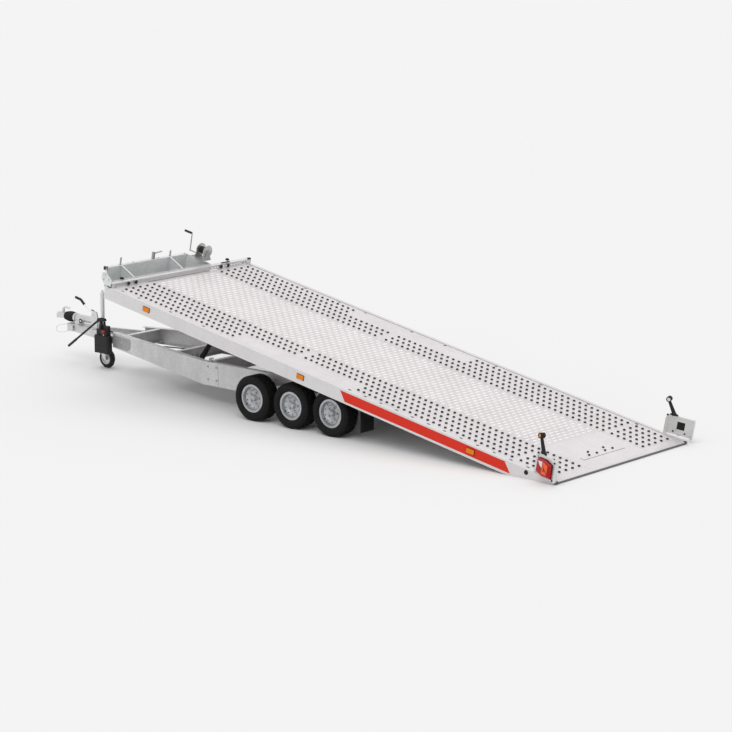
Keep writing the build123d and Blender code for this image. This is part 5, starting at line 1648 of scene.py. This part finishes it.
    def build(self) -> list[Piece]:
        """Make the pieces of the box and the winch."""
        bolts = Fasteners("box_bolts", "bed")
        for u, w in ((5975, 133), (6035, 141), (6062, 200), (6040, 262), (5985, 218)):
            bolts.put(BED, (u, 1069, w), Y, 11)
        for v in (-300, 100, 480, 860):
            bolts.put(BED, (self.front_u + 20, v, self.top_w), Z, 11)
        for u in (6022, 6150):
            for v in self.winch_vs:
                bolts.put(BED, (u, v, self.top_w - 26), Z, 12)
        blank = Blank()
        for v in self.dividers:
            self.edge(blank, (6008, v + self.sheet / 2), (6212, v + self.sheet / 2), 9.0)
        self.edge(blank, (6005, 1004), (6005, -480), 4.5)
        pieces = [bolts.build(), blank.piece("box_trim", "bed", BOLT_ZINC, PLASTIC, RAIL_ZINC)]
        return pieces + [self.trough(), self.fittings(), self.drum(), self.winch_seat()]


# ---------------------------------------------------------------- chassis and drawbar
@dataclass
class Chassis:
    """Seams and bolts of the side beams, the axles' flange bolts and the bolts on the nose."""

    beam_y: float = 705.0
    seam_x: float = 1277.0
    axle_xs: Triple = (530.0, 0.0, -530.0)

    def build(self) -> list[Piece]:
        """Make the seams and the bolts."""
        blank, bolts = Blank(), Fasteners("chassis_bolts", "chassis")
        for side in Side:
            low, high = side.span((self.beam_y - 0.4) * MM, (self.beam_y + 0.35) * MM)
            blank.box(CHASSIS, ((self.seam_x - 1.6) * MM, low, 0.202),
                      ((self.seam_x + 1.6) * MM, high, 0.449))
            for x in (self.seam_x + 28, self.seam_x + 150):
                for z in (400, 265):
                    bolts.put(CHASSIS, (x, side.value * self.beam_y, z), side.out, 15)
            for axle_x in self.axle_xs:
                for dx in (-66, 66):
                    bolts.put(CHASSIS, (axle_x + dx, side.value * self.beam_y, 398), side.out, 15)
        for x in (3830, 3900, 4130, 4180):
            for y in (-34, 34):
                bolts.put(CHASSIS, (x, y, 408), Z, 13)
        return [blank.piece("beam_seams", "chassis", RUBBER), bolts.build()]


@dataclass
class HandPump:
    """Hand pump on its oil reservoir, with the long lever, the red release knob and the pale filler cap."""

    x: float = 3470.0
    y: float = 266.0
    blocks: tuple[tuple[Triple, Triple, float], ...] = (
        ((-0.148, -0.016, 0.216), (0.082, 0.070, 0.404), 0.020),
        ((-0.144, -0.012, 0.403), (0.078, 0.066, 0.412), 0.020),
        ((-0.112, -0.020, 0.411), (0.056, 0.050, 0.478), 0.010),
        ((-0.124, -0.004, 0.470), (-0.060, 0.036, 0.520), 0.006),
    )

    def at(self, dx: float, dy: float, z: float) -> Vector:
        """Point of the pump's drawing."""
        return CHASSIS @ mm(self.x + dx, self.y + dy, z)

    def body(self) -> Piece:
        """Make the reservoir, the pump block, its pistons and the bracket."""
        blank = Blank()
        base = CHASSIS @ Matrix.Translation(mm(self.x, self.y, 0))
        for low, high, edge in self.blocks:
            blank.box(base, low, high, edge)
        long = [(0.0, 0.467), (0.025, 0.467), (0.025, 0.520), (0.018, 0.527), (0.018, 0.574), (0.0, 0.576)]
        short = [(0.0, 0.467), (0.017, 0.467), (0.017, 0.520), (0.012, 0.524), (0.012, 0.560), (0.0, 0.561)]
        blank.turned(base @ Matrix.Translation(mm(20, 2, 0)), long, 24)
        blank.turned(base @ Matrix.Translation(mm(-34, 2, 0)), short, 20)
        blank.box(base, (-0.062, -0.056, 0.342), (0.062, -0.0295, 0.402))
        arm = axes(self.at(0, 0, 0), X, -Y)
        link = [(-0.052, 0.566), (-0.044, 0.592), (0.030, 0.598), (0.072, 0.584), (0.072, 0.560),
                (0.020, 0.556)]
        for y0 in (-0.016, 0.010):
            blank.prism(arm, link, y0, y0 + 0.005)
        blank.bar([self.at(40, 0, 582), self.at(300, 0, 396), self.at(544, 0, 222)], 0.0115, 14)
        blank.bar([self.at(430, 0, 303.5), self.at(558, 0, 212)], 0.0140, 16, slot=1)
        piece = blank.piece("pump", "chassis", BLACK_PAINT, PLASTIC, crease=30.0, bevel=0.0012)
        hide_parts("hand_pump")
        return piece

    def fittings(self) -> Piece:
        """Make the knobs, the caps and the hose ends."""
        blank = Blank()
        red = axes(self.at(-84, 50, 462), X, Y)
        blank.turned(red, band(0.0, 0.016, 0.007), 12, slot=2)
        blank.turned(red, [(0.0, 0.014), (0.014, 0.014), (0.017, 0.020), (0.017, 0.032), (0.013, 0.038),
                           (0.0, 0.039)], 20)
        pale = CHASSIS @ Matrix.Translation(mm(self.x - 62, self.y + 40, 412))
        blank.turned(pale, [(0.0, 0.0), (0.013, 0.0), (0.013, 0.012), (0.010, 0.016), (0.0, 0.0165)], 18,
                     slot=1)
        for start, end in (((3408, 256, 466), (3380, 256, 466)), ((2398, 16, 350), (2430, 16, 350))):
            a, b = (CHASSIS @ mm(*spot) for spot in (start, end))
            along = axes(a, Z, b - a)
            blank.turned(along, [(0.0072, 0.0), (0.0125, 0.0), (0.0125, 0.010), (0.0105, 0.012),
                                 (0.0105, 0.026), (0.0088, 0.028), (0.0072, 0.028)], 6, slot=2)
        return blank.piece("pump_knobs", "chassis", RED_KNOB, PALE_KNOB, BOLT_ZINC, crease=30.0)

    def build(self) -> list[Piece]:
        """Make the pump's pieces."""
        return [self.body(), self.fittings()]


@dataclass
class Drawbar:
    """Bellows and fittings of the coupling, the jockey wheel's post and the hand brake."""

    axis_z: float = 480.0
    folds: int = 6
    jockey: Pair = (3640.0, 100.0)

    def bellows(self) -> Piece:
        """Make the bulging rubber bellows between the housing and the head."""
        low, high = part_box("coupling_bellows")
        span = high.x - low.x
        steps = self.folds * 8
        outline = [(0.0268, 0.0)]
        for k in range(steps + 1):
            share = k / steps
            crest = math.sin(math.pi * min(1.0, share * 1.15 + 0.08)) ** 0.7 if share < 0.8 else 0.0
            bulge = 0.040 + 0.0175 * crest
            swell = 0.036 + 0.021 * math.sin(math.pi * (0.12 + 0.80 * share)) ** 0.8
            ripple = 0.0032 * math.cos(math.tau * self.folds * share)
            radius = max(0.038, 0.35 * bulge + 0.65 * swell) - ripple
            outline.append((radius, span * share))
        outline.append((0.0268, span))
        place = axes(Vector((low.x, 0, (CHASSIS @ mm(0, 0, self.axis_z)).z)), Z, X)
        blank = Blank()
        blank.turned(place, outline, 40)
        piece = blank.piece("bellows", "chassis", RUBBER, crease=50.0)
        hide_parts("coupling_bellows")
        return piece

    def jockey_post(self) -> Piece:
        """Make the jockey wheel's outer tube, its clamp and the folded winding handle."""
        blank = Blank()
        x, y = self.jockey
        post = CHASSIS @ Matrix.Translation(mm(x, y, 0))
        blank.turned(post, [(0.02005, 0.330), (0.0240, 0.330), (0.0240, 0.812), (0.0255, 0.813),
                            (0.0255, 0.832), (0.0225, 0.838), (0.0, 0.838), (0.0, 0.812), (0.02005, 0.810)],
                     32)
        blank.turned(post, band(0.336, 0.388, 0.032, 0.0242), 28)
        blank.box(post, (-0.025, 0.030, 0.340), (0.025, 0.070, 0.384))
        crank = ((0, 0, 836), (0, 0, 850), (4, -6, 856), (34, -34, 856))
        blank.bar([CHASSIS @ mm(x + dx, y + dy, z) for dx, dy, z in crank], 0.0055, 10)
        blank.bar([CHASSIS @ mm(x + 34, y - 34, z) for z in (858, 800)], 0.0095, 12, slot=1)
        piece = blank.piece("jockey_post", "chassis", ZINC, PLASTIC, crease=30.0, bevel=0.001)
        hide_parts("jockey_stand")
        return piece

    def brake(self) -> Piece:
        """Make the hand brake: its sector plates, the rod, the spring cover and the bent grip."""
        blank = Blank()
        face = axes(CHASSIS @ mm(-60, 0, 0), X, -Y)
        sector = [(3826, 406), (3900, 406), (3916, 470), (3925, 540), (3905, 585), (3872, 603), (3838, 592),
                  (3822, 540)]
        for y in (-52, -66):
            blank.prism(face, scaled(sector), (y - 6) * MM, y * MM)
        hub = axes(CHASSIS @ mm(3830, 50, 562), X, Y)
        blank.turned(hub, [(0.0, 0.0), (0.017, 0.0), (0.017, 0.006), (0.011, 0.008), (0.011, 0.026),
                           (0.0, 0.027)], 20)
        knee, tip, end = mm(3975, 60, 655), mm(4025, 60, 700), mm(4118, 60, 726)
        rod = (mm(3830, 60, 565), knee, knee + (tip - knee) * 0.3)
        grip = (knee + (tip - knee) * 0.1, knee + (tip - knee) * 0.25, tip, tip + mm(12, 0, 8), end)
        blank.bar([CHASSIS @ spot for spot in rod], 0.0065, 12)
        blank.bar([CHASSIS @ spot for spot in grip], 0.0145, 16, slot=1)
        hook = ((3790, 520), (3800, 566), (3828, 604), (3862, 612))
        blank.bar([CHASSIS @ mm(x, 60, z) for x, z in hook], 0.0065, 10, slot=1)
        piece = blank.piece("hand_brake", "chassis", ZINC, PLASTIC, crease=30.0)
        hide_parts("handbrake", "handbrake_grip")
        return piece

    def fittings(self) -> Piece:
        """Make the clips of the bellows and the ring on the housing's side."""
        low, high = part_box("coupling_bellows")
        blank = Blank()
        z = (CHASSIS @ mm(0, 0, self.axis_z)).z
        for x in (low.x + 0.004, high.x - 0.010):
            place = axes(Vector((x, 0, z)), Z, X)
            blank.turned(place, band(0.0, 0.006, 0.0445, 0.0375), 32, slot=1)
        hub = axes(CHASSIS @ mm(4048, 56, 462), X, Y)
        blank.turned(hub, [(0.0, 0.0), (0.0255, 0.0), (0.0245, 0.006), (0.0165, 0.006), (0.0160, 0.003),
                           (0.0, 0.003)], 28)
        blank.turned(hub, [(0.0, 0.0028), (0.0135, 0.0028), (0.0125, 0.0075), (0.0, 0.008)], 20, slot=1)
        return blank.piece("coupling_fittings", "chassis", PLASTIC, ZINC, crease=30.0)

    def build(self) -> list[Piece]:
        """Make the drawbar's pieces."""
        return [self.bellows(), self.jockey_post(), self.brake(), self.fittings()]


@dataclass
class Cylinder:
    """Gland and wiper of the hydraulic cylinder."""

    foot: Triple = (2281.0, 0.0, 172.0)
    eye: Triple = (5160.0, 0.0, 50.0)
    barrel: float = 455.0

    def build(self) -> list[Piece]:
        """Make the gland with its wiper."""
        start, end = CHASSIS @ mm(*self.foot), BED @ mm(*self.eye)
        place = axes(start, Y, end - start)
        blank = Blank()
        gland = place @ Matrix.Translation(mm(0, 0, self.barrel))
        blank.turned(gland, [(0.0165, 0.0), (0.029, 0.0), (0.029, 0.008), (0.024, 0.011), (0.0175, 0.012),
                             (0.0165, 0.012)], 32)
        blank.turned(gland, [(0.0164, 0.0115), (0.0215, 0.0115), (0.0185, 0.016), (0.0164, 0.0165)], 28,
                     slot=1)
        return [blank.piece("cylinder_gland", "cylinder_barrel", BOLT_ZINC, RUBBER)]


# ---------------------------------------------------------------- cord
@dataclass
class BreakawayCable:
    """Breakaway cable that hangs in a loop from the nose plate and goes back into it."""

    radius: float = 0.002
    route: tuple[Triple, ...] = ((4280, 0, 388), (4332, 2, 386), (4386, 4, 377), (4440, 6, 364),
                                 (4488, 7, 344), (4518, 7, 312), (4499, 6, 281), (4456, 4, 275),
                                 (4402, 2, 283), (4348, 1, 296), (4306, 0, 315), (4280, 0, 332))
    length: float = 0.52

    def build(self) -> Piece:
        """Lay the cable as one smooth spline through its route.

        Returns:
            The cable's curve object.
        """
        curve = bpy.data.curves.new("breakaway_cord", "CURVE")
        curve.dimensions, curve.bevel_depth, curve.bevel_resolution = "3D", self.radius, 3
        curve.use_fill_caps = True
        spline = curve.splines.new("NURBS")
        spline.points.add(len(self.route) - 1)
        for point, place in zip(spline.points, self.route):
            point.co = (*(CHASSIS @ mm(*place)), 1.0)
        spline.order_u, spline.use_endpoint_u, spline.resolution_u = 3, True, 8
        curve.materials.append(CABLE_SKIN.material())
        cable = stand("breakaway_cord", curve)
        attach(cable, "chassis")
        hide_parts("breakaway_cable")
        return cable


# ---------------------------------------------------------------- studio
@dataclass
class Studio:
    """Pale floor, soft lamps and the camera."""

    eye: Triple = (-17.9175, 19.8932, 5.9954)
    azimuth: float = 49.075
    fall: float = 11.773
    lens: float = 129.36
    floor_tone: float = 0.765
    bounce_tone: float = 0.86
    sky: float = 0.74
    backdrop: float = 0.89

    def camera(self) -> None:
        """Place the camera."""
        a, p = math.radians(self.azimuth), math.radians(self.fall)
        ahead = Vector((math.cos(a) * math.cos(p), -math.sin(a) * math.cos(p), -math.sin(p)))
        data = bpy.data.cameras.new("camera")
        data.lens, data.sensor_width, data.clip_end = self.lens, 36.0, 500.0
        camera = stand("camera", data)
        camera.location = self.eye
        camera.rotation_euler = ahead.to_track_quat("-Z", "Y").to_euler()
        bpy.context.scene.camera = camera

    def world(self) -> None:
        """Light the room evenly, with a pale backdrop for whatever looks past the floor."""
        world = bpy.data.worlds.new("studio")
        bpy.context.scene.world = world
        world.use_nodes = True
        room = Nodes(world.node_tree)
        room.group.nodes.clear()
        path = room.add("ShaderNodeLightPath").outputs
        glass = room.sum("MAXIMUM", path["Is Transmission Ray"], path["Is Glossy Ray"])
        seen = room.sum("MAXIMUM", path["Is Camera Ray"], glass)
        sky, backdrop = (room.made("ShaderNodeBackground", None, Color=(1.0, 1.0, 1.0, 1.0),
                                   Strength=strength) for strength in (self.sky, self.backdrop))
        mixed = room.made("ShaderNodeMixShader", None, _0=seen, _1=sky, _2=backdrop)
        room.add("ShaderNodeOutputWorld", None, Surface=mixed)

    def floor(self) -> None:
        """Lay the pale floor."""
        mesh = bpy.data.meshes.new("floor")
        half = 120.0
        mesh.from_pydata([(-half, -half, 0), (half, -half, 0), (half, half, 0), (-half, half, 0)], [],
                         [(0, 1, 2, 3)])
        board = Board("pale_floor")
        board.set(Roughness=0.9, Specular_IOR_Level=0.0)
        path = board.add("ShaderNodeLightPath").outputs["Is Camera Ray"]
        seen = board.mix(board.noise(0.15, 2.0), (self.floor_tone,) * 3, (self.floor_tone * 0.985,) * 3)
        board.colour(board.mix(path, (self.bounce_tone,) * 3, seen))
        mesh.materials.append(board.material)
        floor = stand("floor", mesh)

    def lamp(self, name: str, fall: Triple, spread: float, power: float) -> None:
        """Hang a soft lamp far away.

        Args:
            name: Name of the lamp.
            fall: Which way its light falls.
            spread: How wide it looks, in degrees.
            power: Its strength.
        """
        data = bpy.data.lights.new(name, "SUN")
        data.angle, data.energy = math.radians(spread), power
        stand(name, data).rotation_euler = Vector(fall).to_track_quat("-Z", "Y").to_euler()

    def build(self) -> None:
        """Set the whole studio up."""
        scene = bpy.context.scene
        scene.view_settings.view_transform = "Standard"
        self.camera()
        self.world()
        self.floor()
        self.lamp("key", (0.25, -0.55, -1.0), 45.0, 1.05)
        self.lamp("top", (-0.1, 0.35, -1.0), 60.0, 0.55)


ASSEMBLIES: list = [RoadWheel(position, side) for position in ("front", "middle", "rear") for side in Side]
ASSEMBLIES += [Deck(), Rails(), RearLip(), StopBar(), FrontBox()]
ASSEMBLIES += [LampSet(side) for side in Side] + [Chassis(), Drawbar(), HandPump(), Cylinder()]


def main() -> None:
    """Build the trailer's pieces in order and report each."""
    logging.basicConfig(level=logging.INFO, format="%(message)s")
    Studio().build()
    cable = BreakawayCable().build()
    log.info("made %s", cable.name)
    log.info("dressed %d parts of the frame", Wardrobe().dress())
    for assembly in ASSEMBLIES:
        for piece in assembly.build():
            log.info("made %s with %d faces", piece.name, len(piece.data.polygons))


if __name__ == "__main__":
    main()
